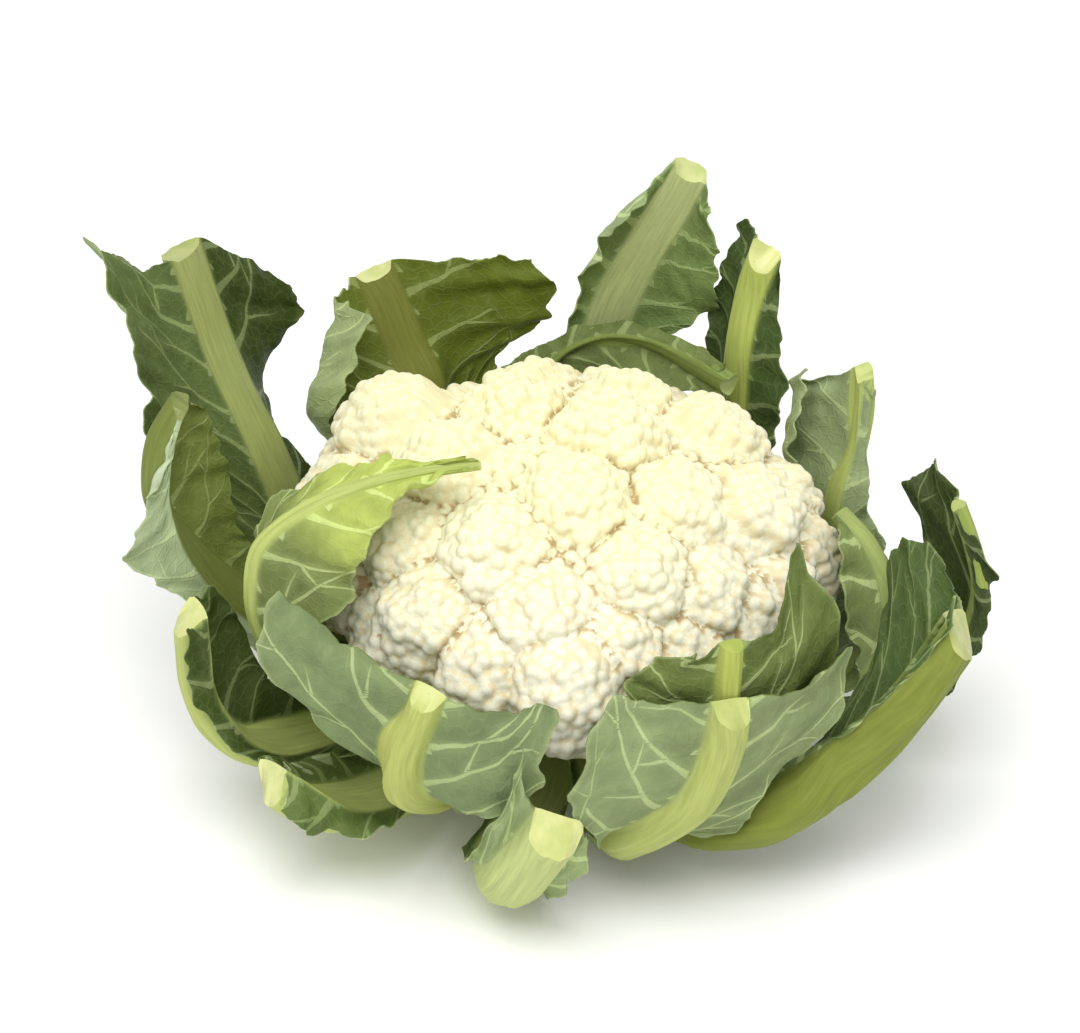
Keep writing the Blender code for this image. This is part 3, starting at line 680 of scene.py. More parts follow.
def settled_leaves():
    """Every leaf's shell with its inner and outer face, each clear of the head and of the leaves
    inside it."""
    trees, leaves = [], {}
    for order, (name, spec) in enumerate(LEAVES.items()):
        grid = leaf_grid(spec, order)
        body = leaf_body(*grid.shape[:2])
        for _ in range(SETTLING_ROUNDS):
            grid, inner, outer = untangled(body, clear_of(grid, trees), spec)
        trees.append(tree_of(inner, outer))
        leaves[name] = body, inner, outer
    return leaves


def on_head(azimuth, tilt, inset):
    """A point under the head's outline, and the way out of the head there."""
    height = DOME_HEIGHT if tilt <= math.pi / 2 else BOWL_DEPTH
    away = unit(toward(azimuth, tilt) / (HEAD_RADIUS, HEAD_RADIUS, height))
    direction = unit(toward(azimuth, tilt) * (HEAD_RADIUS, HEAD_RADIUS, height))
    return Vector(CENTRE + direction * head_reach(direction) - away * inset), Vector(away)


# Each leaf's own colours: its outer face, its inner face and its rib
LEAF_TINTS = {
    "leaf_left_inner": ((0.38, 0.45, 0.10), (0.38, 0.46, 0.11), (0.40, 0.46, 0.13)),
    "leaf_right_inner": ((0.17, 0.22, 0.07), (0.145, 0.195, 0.06), (0.28, 0.34, 0.10)),
    "leaf_front_right_inner": ((0.12, 0.16, 0.04), (0.11, 0.15, 0.032), (0.36, 0.41, 0.08)),
    "leaf_back_low": ((0.18, 0.24, 0.09), (0.13, 0.17, 0.05), (0.20, 0.26, 0.06)),
    "leaf_back_left": ((0.31, 0.375, 0.17), (0.10, 0.13, 0.013), (0.125, 0.135, 0.012)),
    "leaf_left_curl": ((0.14, 0.17, 0.04), (0.15, 0.19, 0.04), (0.14, 0.17, 0.03)),
    "leaf_front_left": ((0.185, 0.24, 0.105), (0.12, 0.17, 0.05), (0.41, 0.46, 0.12)),
    "leaf_front_right": ((0.22, 0.275, 0.125), (0.13, 0.18, 0.05), (0.40, 0.45, 0.13)),
    "leaf_right_back": ((0.29, 0.35, 0.18), (0.25, 0.31, 0.15), (0.38, 0.44, 0.12)),
    "leaf_back": ((0.26, 0.33, 0.16), (0.14, 0.20, 0.06), (0.40, 0.45, 0.19)),
    "leaf_left_mid": ((0.16, 0.22, 0.07), (0.06, 0.09, 0.02), (0.44, 0.50, 0.15)),
    "leaf_left_tall": ((0.24, 0.31, 0.14), (0.034, 0.054, 0.008), (0.29, 0.33, 0.10)),
    "leaf_back_right": ((0.20, 0.27, 0.10), (0.05, 0.08, 0.02), (0.36, 0.42, 0.09)),
    "leaf_right_far": ((0.15, 0.21, 0.07), (0.04, 0.06, 0.015), (0.28, 0.35, 0.07)),
    "leaf_front": ((0.28, 0.35, 0.16), (0.14, 0.20, 0.06), (0.46, 0.52, 0.20)),
    "leaf_right_long": ((0.13, 0.18, 0.06), (0.07, 0.11, 0.03), (0.18, 0.215, 0.025)),
    "leaf_left_low": ((0.34, 0.41, 0.22), (0.11, 0.16, 0.04), (0.48, 0.55, 0.17)),
}

# How far the left blade's margin is raised to close a gap seen from the front
LIFTS = {"leaf_left_low": 12.0 * MM}

# How pale and wet each cut still is, from 0 for one that looks like the rib
CUT_FRESHNESS = {
    "leaf_front": 1.0,
    "leaf_left_low": 1.0,
    "leaf_back_right": 0.9,
    "leaf_back_left": 0.9,
    "leaf_left_mid": 0.8,
    "leaf_right_long": 0.7,
    "leaf_back": 0.5,
    "leaf_front_left": 0.3,
    "leaf_back_low": 0.3,
    "leaf_left_tall": 0.2,
    "leaf_right_far": 0.2,
    "leaf_front_right": 0.15,
    "leaf_left_curl": 0.1,
    "leaf_front_right_inner": 0.0,
}

RIGHT_TINTS = {
    "leaf_left_tall": ((0.24, 0.31, 0.14), (0.09, 0.13, 0.035)),
    "leaf_left_curl": ((0.42, 0.49, 0.32), (0.33, 0.40, 0.22)),
}

# Blades with another tint on their lower part: outer side, inner side, and how far up that reaches
LOW_TINTS = {
    "leaf_left_inner": ((0.16, 0.20, 0.06), (0.17, 0.22, 0.05), 0.74),
}


def length(name, description, default):
    return bpy.props.FloatProperty(name=name, description=description, default=default, min=0.0, unit="LENGTH")


def amount(name, description, default):
    return bpy.props.FloatProperty(name=name, description=description, default=default, min=0.0)


def colour(name, description, default):
    return bpy.props.FloatVectorProperty(
        name=name, description=description, default=default, min=0.0, max=1.0, size=3, subtype="COLOR"
    )


class CurdSettings(bpy.types.PropertyGroup):
    """Sizes and colours of the curd."""

    bud_radius: length("Bud radius", "Radius of one bud of the curd", 3.0 * MM)
    cream: colour("Cream", "Colour of the buds", (0.86, 0.84, 0.67))
    butter: colour("Butter", "Colour of the buds on top, where they are yellower", (0.85, 0.83, 0.50))
    # Painted shade: the colour laid between the buds, where they shade one another
    shade: colour("Shade", "Colour between the buds", (0.75, 0.63, 0.33))
    # Painted shade: a dark tan laid in patches deep in the creases between the florets
    deep: colour("Crease", "Colour deep between the florets", (0.40, 0.27, 0.10))


class LeafSettings(bpy.types.PropertyGroup):
    """Sizes and colours that all the leaves share."""

    vein_width: length("Vein width", "Width of a side vein where it leaves the rib", 1.5 * MM)
    vein_height: length("Vein height", "How far a side vein stands out of the outer face", 0.5 * MM)
    puff: length("Puff", "How far the blade swells between its veins", 0.9 * MM)
    lobe: length("Lobe", "Depth of the broad lobes along the edge", 2.4 * MM)
    tooth: length("Tooth", "Depth of the small teeth along the edge", 0.7 * MM)
    frill: length("Frill", "Height of the waves along the edge", 2.2 * MM)
    vein: colour("Vein", "Colour of the veins", (0.50, 0.58, 0.27))
    cut: colour("Cut", "Colour of a fresh cut", (0.66, 0.68, 0.28))


class StageSettings(bpy.types.PropertyGroup):
    """The studio around the cauliflower."""

    floor: colour("Floor", "Colour of the floor", (0.98, 0.98, 0.97))
    sky: amount("Sky", "Strength of the even light from all round", 0.79)
    key: amount("Key", "Power of the large lamp above, in watts", 12.5)
    lens: amount("Lens", "Focal length of the camera in millimetres", 117.33)


class Wire:
    """A shader output. Arithmetic on it adds the Math nodes."""

    def __init__(self, look, socket):
        self.look = look
        self.socket = socket

    def maths(self, operation, first, second=0.0, clamp=False):
        settings = {"operation": operation, "use_clamp": clamp}
        return self.look.node("ShaderNodeMath", settings, {0: first, 1: second})

    def __add__(self, other):
        return self.maths("ADD", self, other)

    __radd__ = __add__

    def __sub__(self, other):
        return self.maths("SUBTRACT", self, other)

    def __rsub__(self, other):
        return self.maths("SUBTRACT", other, self)

    def __mul__(self, other):
        return self.maths("MULTIPLY", self, other)

    __rmul__ = __mul__

    def __pow__(self, other):
        return self.maths("POWER", self, other)

    def __abs__(self):
        return self.maths("ABSOLUTE", self)

    def larger(self, other):
        return self.maths("MAXIMUM", self, other)

    def clamped(self):
        return self.maths("ADD", self, 0.0, clamp=True)


class Look:
    """A material whose nodes are added by name."""

    def __init__(self, name, roughness, weight=0.0):
        self.material = bpy.data.materials.new(name)
        self.material.use_nodes = True
        self.tree = self.material.node_tree
        self.shader = self.tree.nodes["Principled BSDF"]
        self.shader.inputs["Roughness"].default_value = roughness
        self.shader.inputs["Subsurface Weight"].default_value = weight

    def node(self, kind, settings=None, values=None, output=0):
        """One node: its settings are set first, then its sockets' values or links."""
        made = self.tree.nodes.new(kind)
        for name, value in (settings or {}).items():
            setattr(made, name, value)
        for key, value in (values or {}).items():
            self.feed(made.inputs[key], value)
        return Wire(self, made.outputs[output])

    def feed(self, socket, value):
        if isinstance(value, Wire):
            self.tree.links.new(value.socket, socket)
        else:
            socket.default_value = value

    def wear(self, name, value):
        """Links or sets one of the shader's own sockets."""
        self.feed(self.shader.inputs[name], value)

    def mix(self, share, first, second):
        """A colour between two colours."""
        ends = [(*end, 1.0) if isinstance(end, tuple) else end for end in (first, second)]
        return self.node("ShaderNodeMix", {"data_type": "RGBA"}, {0: share, 6: ends[0], 7: ends[1]}, 2)

    def shaded(self, base, share):
        """A colour made lighter or darker by a share."""
        return self.node("ShaderNodeVectorMath", {"operation": "SCALE"}, {0: base, "Scale": share})

    def attribute(self, name, output="Fac"):
        return self.node("ShaderNodeAttribute", {"attribute_name": name}, output=output)

    def point(self):
        return self.node("ShaderNodeTexCoord", output="Object")

    def stretched(self, place, by):
        return self.node("ShaderNodeVectorMath", {"operation": "MULTIPLY"}, {0: place, 1: by})

    def part(self, place, axis):
        return self.node("ShaderNodeSeparateXYZ", None, {"Vector": place}, axis)

    def noise(self, place, scale, detail=2.0, distortion=0.0):
        values = {"Vector": place, "Scale": scale, "Detail": detail, "Distortion": distortion}
        return self.node("ShaderNodeTexNoise", None, values, "Fac")

    def sway(self, place):
        """A random direction that changes slowly from place to place."""
        return self.node("ShaderNodeTexNoise", None, {"Vector": place, "Scale": 160.0, "Detail": 1.0}, "Color")

    def cells(self, place, scale, feature="F1"):
        values = {"Vector": place, "Scale": scale}
        return self.node("ShaderNodeTexVoronoi", {"feature": feature}, values, "Distance")

    def step(self, value, low, high):
        """Rises smoothly from 0 to 1 while the value goes from low to high."""
        values = {"Value": value, "From Min": low, "From Max": high}
        return self.node("ShaderNodeMapRange", {"interpolation_type": "SMOOTHSTEP"}, values)

    def bump(self, height, strength, distance):
        values = {"Strength": strength, "Distance": distance, "Height": height}
        self.wear("Normal", self.node("ShaderNodeBump", None, values))


def curd_look(settings):
    """Cream buds with a fine grain, butter yellow on top, painted shade between the buds and between the grain's
    granules, and painted shade in dark tan patches deep in the creases between the florets.
    """
    look = Look("curd", 0.6, 0.3)
    look.shader.inputs["Subsurface Radius"].default_value = (1.0, 0.8, 0.5)
    look.shader.inputs["Subsurface Scale"].default_value = 2.0 * MM
    point = look.point()
    patch = look.noise(point, 28.0, 3.0)
    crease = look.attribute("crease")
    seam = look.attribute("seam")
    grain = look.cells(point, 1100.0, "SMOOTH_F1")
    top = look.step(look.part(point, "Z") + 0.04 * patch, 0.10, 0.15)
    base = look.mix(top * 0.85, tuple(settings.cream), tuple(settings.butter))
    # Painted shade between the buds, deepest low on each bud and weaker on top
    base = look.mix(look.step(seam, 0.10, 0.55) * (0.68 - 0.18 * top), base, tuple(settings.shade))
    # Painted shade: dark tan deep in the creases between the florets and low between the buds, in noise patches, fewer
    # on top
    tan = look.step(crease, 0.1, 0.6) * look.step(seam, 0.15, 0.5) * look.step(patch - 0.10 * top, 0.30, 0.46)
    base = look.mix(tan * 0.85, base, tuple(settings.deep))
    # The fine grain darkens the colour a little between its granules, where its bump is low: painted shade
    look.wear("Base Color", look.shaded(base, 1.02 - 0.08 * grain))
    look.wear("Roughness", 0.52 + 0.2 * patch)
    look.bump(1.0 - grain, 0.25, 0.0005)
    return look.material


def leaf_look(name, settings):
    """A leaf's blade, net of fine veins, raised veins and streaked rib."""
    outer, inner, rib = LEAF_TINTS[name]
    look = Look(name, 0.5)
    look.shader.inputs["Specular IOR Level"].default_value = LEAF_GLOSS
    point = look.point()
    place = look.attribute("place", "Vector")
    side = look.attribute("inner")
    on_rib = look.attribute("rib")
    thick = look.attribute("thick")
    vein = (0.5 + (0.95 * thick - abs(look.attribute("vein"))) * 3.2).clamped() * look.step(thick, 0.05, 0.30)
    patch = look.noise(point, 30.0, 4.0, 0.4)
    fleck = look.noise(point, 190.0, 3.0)
    bent = look.node("ShaderNodeVectorMath", {"operation": "ADD"}, {0: place, 1: look.stretched(look.sway(place), (0.004,) * 3)})
    net = 1.0 - look.step(look.cells(bent, 260.0, "DISTANCE_TO_EDGE"), 0.0, 0.12)
    streak = look.noise(look.stretched(place, (1.0, 0.06, 1.0)), 900.0, 2.0)
    pale = tuple(settings.vein)
    blade = look.mix(side, outer, inner)
    if name in RIGHT_TINTS:
        right_outer, right_inner = RIGHT_TINTS[name]
        right = look.step(-1.0 * look.part(place, "X"), -1.0 * MM, 1.0 * MM)
        blade = look.mix(right, blade, look.mix(side, right_outer, right_inner))
    if name in LOW_TINTS:
        low_outer, low_inner, reach = LOW_TINTS[name]
        low = 1.0 - look.step(look.attribute("up") + 0.2 * patch, reach, reach + 0.12)
        blade = look.mix(low, blade, look.mix(side, low_outer, low_inner))
    pucker = look.noise(place, 120.0, 3.0, 0.6)
    blade = look.shaded(blade, 0.22 + 0.80 * patch + 0.34 * fleck + 0.42 * pucker)
    blade = look.mix(net * 0.05, blade, pale)
    lighter = look.mix(0.5, pale, look.shaded(blade, 1.8))
    blade = look.mix(look.attribute("glow") * (0.26 - 0.14 * side), blade, lighter)
    blade = look.mix(vein * (0.80 - 0.35 * side), blade, lighter)
    # The rim is a pale band along the margin, mostly on the outer face: partly the margin's own paleness, partly a
    # painted highlight on the edge
    blade = look.mix(look.attribute("rim") * (0.3 - 0.25 * side), blade, pale)
    fibre = look.noise(look.stretched(place, (1.0, 0.03, 1.0)), 2200.0, 2.0)
    stalk = look.shaded(look.mix(0.15 * patch, rib, pale), 0.55 + 0.55 * streak + 0.35 * fibre)
    look.wear("Base Color", look.mix(look.step(on_rib, 0.18, 0.72), blade, stalk))
    look.wear("Roughness", 0.60 - 0.16 * side + 0.12 * fleck - 0.08 * on_rib)
    height = fleck * 0.3 + (pucker * 1.2 + net * 0.3 + vein * 0.6) * (1.0 - on_rib) + streak * on_rib * 0.5
    look.bump(height, 0.5, 0.0008)
    return look.material


def cut_look(name, settings):
    """A wet cut with pale pith, tinted like the rib where it has dried."""
    look = Look(name + "_cut", 0.4)
    point = look.point()
    patch = look.noise(point, 120.0, 3.0)
    dots = 1.0 - look.step(look.cells(point, 420.0), 0.05, 0.22)
    share = CUT_FRESHNESS.get(name, 0.5)
    rib = LEAF_TINTS[name][2]
    fresh = tuple(share * part + (1 - share) * min(1.0, 1.12 * tint) for part, tint in zip(settings.cut, rib))
    green = tuple(part * share for part, share in zip(fresh, (0.80, 0.86, 0.70)))
    base = look.mix(look.step(patch, 0.42, 0.68), fresh, green)
    look.wear("Base Color", look.mix(dots * 0.3, base, green))
    look.wear("Roughness", 0.28 + 0.2 * patch)
    look.bump(patch + 0.2 * dots, 0.4, 0.0008)
    return look.material


def stem_look(settings):
    """The stump's skin with long streaks, and the pith of its cut face."""
    look = Look("stem", 0.5)
    point = look.point()
    patch = look.noise(point, 60.0, 3.0)
    streak = look.noise(look.stretched(point, (1.0, 1.0, 0.08)), 500.0)
    on_cut = look.attribute("cut")
    skin = look.shaded(look.mix(patch, (0.48, 0.53, 0.26), (0.60, 0.63, 0.36)), 0.75 + 0.4 * streak)
    pith = look.mix(look.step(patch, 0.4, 0.7), (0.76, 0.75, 0.48), (0.62, 0.60, 0.33))
    look.wear("Base Color", look.mix(on_cut, skin, pith))
    look.bump(streak + patch, 0.3, 0.0008)
    return look.material


def floor_look(settings):
    look = Look("floor", 0.6)
    speck = look.noise(look.point(), 6.0, 2.0)
    look.wear("Base Color", look.shaded(tuple(settings.floor), 0.985 + 0.02 * speck))
    return look.material


def finished(name, body, material, second=None):
    """A bmesh as a smooth object at the origin."""
    mesh = bpy.data.meshes.new(name)
    body.to_mesh(mesh)
    body.free()
    mesh.polygons.foreach_set("use_smooth", [True] * len(mesh.polygons))
    mesh.materials.append(material)
    if second:
        mesh.materials.append(second)
    made = bpy.data.objects.new(name, mesh)
    bpy.context.scene.collection.objects.link(made)
    return made


def dress(piece, node):
    """The piece rides on the only body, and the node that it stands for is hidden."""
    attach(piece, "root")
    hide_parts(node)


def store(mesh, name, values, kind="FLOAT"):
    """Keeps one value a point on the mesh, for its material."""
    holder = mesh.attributes.new(name, kind, "POINT")
    holder.data.foreach_set("vector" if kind == "FLOAT_VECTOR" else "value", np.asarray(values, np.float32).ravel())


def make_stem(settings):
    """The stump, turned with a rounded foot and faint rings where leaves were."""
    body = bmesh.new()
    profile = [(0.0, STEM_TOP), (STEM_RADIUS - STEM_SHOULDER, STEM_TOP), (STEM_RADIUS, STEM_TOP - STEM_SHOULDER)]
    rings = 14
    for ring in range(1, rings):
        share = ring / rings
        height = (STEM_TOP - STEM_SHOULDER) * (1 - share) + STEM_FOOT_HEIGHT * 0.1 * share
        narrow = (STEM_RADIUS - STEM_FOOT_RADIUS) * max(0.0, 1 - height / STEM_FOOT_HEIGHT)
        profile.append((STEM_RADIUS - narrow - 0.5 * MM * (ring % 2), height))
    profile += [(STEM_FOOT_RADIUS - 0.8 * MM, 0.0), (0.0, 0.0)]
    corners = [body.verts.new((radius, 0.0, height)) for radius, height in profile]
    edges = [body.edges.new(pair) for pair in zip(corners, corners[1:])]
    bmesh.ops.spin(
        body, geom=corners + edges, cent=(0, 0, 0), axis=(0, 0, 1), angle=2 * math.pi, steps=96, use_merge=True
    )
    bmesh.ops.remove_doubles(body, verts=body.verts[:], dist=0.01 * MM)
    bmesh.ops.recalc_face_normals(body, faces=body.faces[:])
    made = finished("stem_fine", body, stem_look(settings))
    heights = np.array([vertex.co.z for vertex in made.data.vertices])
    store(made.data, "cut", heights < 0.1 * MM)
    made.data.set_sharp_from_angle(angle=math.radians(50))
    dress(made, "stem")


def reach_into(ways, middles, radii):
    """How far each direction out of the head's centre reaches before it leaves a set of balls, and
    how low that is on the ball, from 0 at its top."""
    reach = np.zeros(len(ways))
    low = np.ones(len(ways))
    for middle, radius in zip(middles, radii):
        gap = middle @ middle - radius**2
        along = ways @ middle
        hit = np.flatnonzero(along > math.sqrt(max(gap, 0.0)))
        far = along[hit] + np.sqrt(along[hit] ** 2 - gap)
        better = far > reach[hit]
        reach[hit[better]] = far[better]
        low[hit[better]] = (np.linalg.norm(middle) + radius - far[better]) / radius
    return reach, low


def spread_over(axis, count, cover, turn):
    """Directions spread evenly round an axis, over a share of a ball."""
    away = Vector(axis).normalized()
    first = away.orthogonal().normalized()
    second = away.cross(first)
    spots = np.arange(count) + 0.5
    rise = 1 - 2 * cover * spots / count
    flat = np.sqrt(1 - rise**2)
    spin = spots * GOLDEN_ANGLE + turn
    return np.stack((flat * np.cos(spin), flat * np.sin(spin), rise), 1) @ np.array((first, second, away))


def lobes():
    """Each floret's middle, and the way out of the head there."""
    highest = math.cos(math.radians(LOWEST_LOBE))
    for lobe in range(LOBE_COUNT):
        tilt = math.acos(1 - (lobe + 0.5) / LOBE_COUNT * (1 - highest))
        middle, away = on_head(lobe * GOLDEN_ANGLE, tilt, LOBE_RADIUS)
        yield np.array(middle) - CENTRE, np.array(away)


def floret_skin(ways, florets):
    """The reach of the bare florets in each direction, and how close a crease between two is."""
    first = np.array([head_reach(way) for way in ways]) - CORE_INSET
    second = first - CORE_INSET
    for middle, radius in florets:
        reach, _ = reach_into(ways, [middle], [radius])
        second = np.maximum(second, np.minimum(first, reach))
        first = np.maximum(first, reach)
    return first, np.exp(-(first - second) / CREASE_WIDTH)


def budded(draw, florets, settings):
    """The middle and the size of every bud: on the florets in clusters, and between them."""
    middles = [unit(spread_over((0.0, 0.0, 1.0), CORE_BUDS, BUD_COVER, 0.0) * (HEAD_RADIUS, HEAD_RADIUS, DOME_HEIGHT))]
    reach = np.array([head_reach(way) for way in middles[0]]) - CORE_INSET
    middles[0] *= (reach - BUD_HOLD * settings.bud_radius)[:, None]
    for middle, radius in florets:
        clusters = spread_over(middle, CLUSTERS_A_LOBE, LOBE_COVER, draw.uniform(0.0, 2 * math.pi))
        buds = spread_over(middle, BUDS_A_LOBE, LOBE_COVER, draw.uniform(0.0, 2 * math.pi))
        buds = unit(buds + draw.normal(0.0, BUD_JITTER, buds.shape))
        apart = np.arccos(np.clip((buds @ clusters.T).max(1), -1.0, 1.0)) / CLUSTER_SPREAD
        sunk = CLUSTER_DEPTH * np.minimum(apart, 1.3) ** 2
        middles.append(middle + buds * (radius - settings.bud_radius - sunk)[:, None])
    middles = np.concatenate(middles)
    sizes = settings.bud_radius * draw.uniform(0.85, 1.15, len(middles))
    deepest = np.full(len(middles), -1.0)
    for middle, radius in florets:
        deepest = np.maximum(deepest, radius - np.linalg.norm(middles - middle, axis=1))
    seen = deepest < BURIED
    return middles[seen], sizes[seen]


def curd_fields(ways, settings):
    """The skin's reach in each direction, how close a crease between florets is, and how low on
    its bud it lies."""
    draw = np.random.default_rng(SEED)
    florets = []
    for middle, away in lobes():
        radius = LOBE_RADIUS * draw.uniform(*LOBE_SIZES)
        florets.append((middle + away * draw.uniform(-LOBE_RISE, LOBE_RISE), radius))
    skin, low = reach_into(ways, *budded(draw, florets, settings))
    base, crease = floret_skin(ways, florets)
    base -= CLUSTER_DEPTH + BUD_SINK * settings.bud_radius
    low = np.where(base > skin, 1.0, np.minimum(low, 1.0))
    return np.maximum(skin, base) - CREASE_DEPTH * crease, crease, low


def make_curd(settings):
    """A fine ball drawn out to the buds in every direction."""
    body = bmesh.new()
    bmesh.ops.create_icosphere(body, subdivisions=SKIN_LEVELS, radius=1.0)
    lowest = math.cos(math.radians(FINE_TILT))
    for _ in range(SKIN_ROUNDS):
        upper = [edge for edge in body.edges if min(vertex.co.z for vertex in edge.verts) > lowest]
        bmesh.ops.subdivide_edges(body, edges=upper, cuts=1, use_grid_fill=True)
        for vertex in body.verts:
            vertex.co.normalize()
    bmesh.ops.triangulate(body, faces=body.faces[:])
    directions = np.array([vertex.co for vertex in body.verts])
    skin, crease, seam = curd_fields(directions, settings)
    for vertex, place in zip(body.verts, directions * skin[:, None] + CENTRE):
        vertex.co = place
    bmesh.ops.smooth_vert(body, verts=body.verts[:], factor=0.5, use_axis_x=True, use_axis_y=True, use_axis_z=True)
    made = finished("curd", body, curd_look(settings))
    store(made.data, "crease", crease)
    store(made.data, "seam", seam)
    dress(made, "head")


def refined(grid, rows, knots, columns):
    """A coarse grid read as a smooth surface at finer rows and columns."""
    tall = curve(grid.reshape(len(grid), -1), np.arange(len(grid)), rows)
    tall = tall.reshape(len(rows), -1, 3).transpose(1, 0, 2)
    wide = curve(tall.reshape(len(tall), -1), knots, columns)
    return wide.reshape(len(columns), len(rows), 3).transpose(1, 0, 2)


def evened(offsets, rows, knots, columns):
    """Offsets read along straight lines between the coarse points, then rounded off. Unlike
    curves, these never fall below nothing, so that a leaf keeps its thickness."""
    at_rows = read_rows(offsets.transpose(1, 0, 2), np.tile(rows, (offsets.shape[1], 1)))
    at_columns = np.interp(columns, knots, np.arange(len(knots)))
    fine = read_rows(at_rows.transpose(1, 0, 2), np.tile(at_columns, (len(rows), 1)))
    return smoothed(fine, DEPTH_ROUNDS)


def read_rows(values, places):
    """Each row of a grid read at its own places, counted in columns."""
    low = np.clip(places.astype(int), 0, values.shape[1] - 2)
    share = (places - low)[..., None]
    row = np.arange(len(values))[:, None]
    return values[row, low] * (1 - share) + values[row, low + 1] * share


def ripple(draw, along, waves, longest):
    """A smooth random line between -1 and 1, of a few waves."""
    total = np.zeros_like(along)
    for wave in range(waves):
        total += np.sin(along * 2 * math.pi / (longest * 0.62**wave) + draw.uniform(0, 7)) * 0.7**wave
    return total / sum(0.7**wave for wave in range(waves))


class Sheet:
    """The fine grid of a leaf. Rows run up the leaf, and columns from the right margin to the left."""

    def __init__(self, name, inner, outer):
        first = len(columns_of(LEAVES[name]["right"]))
        last = first + len(RIB_COLUMNS) - 1
        gaps = np.linalg.norm(np.diff(inner, axis=1), axis=2).mean(0)
        knots = np.concatenate(((0.0,), np.cumsum(gaps)))
        steps = [max(4, round(gap / FINE_STEP)) for gap in gaps]
        steps[first:last] = RIB_STEPS
        strips = [np.linspace(knots[k], knots[k + 1], count, endpoint=False) for k, count in enumerate(steps)]
        columns = np.concatenate((*strips, knots[-1:]))
        self.tall = np.linalg.norm(np.diff(inner[:, first + 2], axis=0), axis=1).sum()
        self.count = max(40, round(self.tall / FINE_STEP))
        rows = np.linspace(0.0, len(inner) - 1.0, self.count)
        self.inner = refined(inner, rows, knots, columns)
        self.depth = evened(outer - inner, rows, knots, columns)
        self.share = np.linspace(0.0, 1.0, self.count)
        self.number = np.arange(len(columns), dtype=float)
        self.right = sum(steps[:first])
        self.left = sum(steps[:last])
        self.on_rib = (self.number >= self.right) & (self.number <= self.left)
        self.sides = ((slice(0, self.right + 1), self.right), (slice(self.left, None), self.left))
        # How far out each column lies on the blade, from the rib's edge to the margin
        self.out = np.where(
            self.number < self.right,
            (self.right - self.number) / self.right,
            np.maximum(0.0, self.number - self.left) / (len(columns) - 1 - self.left),
        )

    def trimmed(self, draw, settings):
        """Draws the margins in to lobes and teeth, and the top of the blades down to a ragged line."""
        along = self.share * self.tall
        places = np.tile(self.number, (self.count, 1))
        for part, edge in self.sides:
            lobes = settings.lobe * (1 + ripple(draw, along, 3, LOBE_WAVE))
            teeth = settings.tooth * (1 + 0.6 * ripple(draw, along, 4, TOOTH_WAVE) + 0.8 * draw.random(self.count))
            span = np.linalg.norm(np.diff(self.inner[:, part], axis=1), axis=2).sum(1)
            keep = 1 - np.minimum((lobes + teeth) * np.sqrt(self.share) / np.maximum(span, 1 * MM), 0.35)
            places[:, part] = edge + (self.number[part] - edge) * keep[:, None]
        self.read(places)
        edge = np.cumsum(np.full(len(self.number), FINE_STEP))
        ragged = settings.lobe * (1 + ripple(draw, edge, 4, LOBE_WAVE)) + settings.tooth * draw.random(len(edge))
        drop = ragged * np.minimum(1.0, self.out * 3) * (self.count - 1) / self.tall
        level = np.arange(self.count) - drop[:, None] * self.share**TOP_HOLD
        self.inner = read_rows(self.inner.transpose(1, 0, 2), level).transpose(1, 0, 2)
        self.depth = read_rows(self.depth.transpose(1, 0, 2), level).transpose(1, 0, 2)

    def lifted(self, rise):
        """Raises the margin of the left blade, most of all halfway up the leaf."""
        self.inner[..., 2] += rise * np.sin(math.pi * self.share)[:, None] * self.out * (self.number > self.left)

    def read(self, places):
        self.inner = read_rows(self.inner, places)
        self.depth = read_rows(self.depth, places)

    def flattened(self):
        """Distances across from the rib's edge and along the leaf, as if it lay flat."""
        gaps = np.linalg.norm(np.diff(self.inner, axis=1), axis=2)
        run = np.concatenate((np.zeros((self.count, 1)), np.cumsum(gaps, axis=1)), axis=1)
        right, left = run[:, self.right, None], run[:, self.left, None]
        self.across = np.maximum(np.where(self.number < self.right, right - run, run - left), 0.0)
        self.along = np.tile(self.share[:, None] * self.tall, (1, len(self.number)))
        self.level = run - right


def grown(draw, start, heading, width, bend, longest, breadth, others=()):
    """One vein as points with half widths, on the flattened blade: across from the rib, and along it.
    It ends where it meets one of the others."""
    place = np.array(start)
    points = []
    gone = 0.0
    sway = 0.0
    taken = np.array([point[:2] for vein in others for point in vein]).reshape(-1, 2)
    while gone < longest and -1 * MM < place[0] < breadth and place[1] > 0:
        flare = VEIN_FLARE * math.exp(-gone / FLARE_LENGTH)
        points.append((*place, 0.5 * width * (flare + 1 - 0.8 * gone / longest)))
        if gone > VEIN_CLEAR and len(taken) and np.hypot(*(taken - place).T).min() < VEIN_JOIN:
            break
        place = place + VEIN_STEP * np.array((math.cos(heading), math.sin(heading)))
        sway = 0.7 * sway + draw.normal(0.0, VEIN_WANDER)
        heading += bend * VEIN_STEP / MM + sway
        gone += VEIN_STEP
    return points


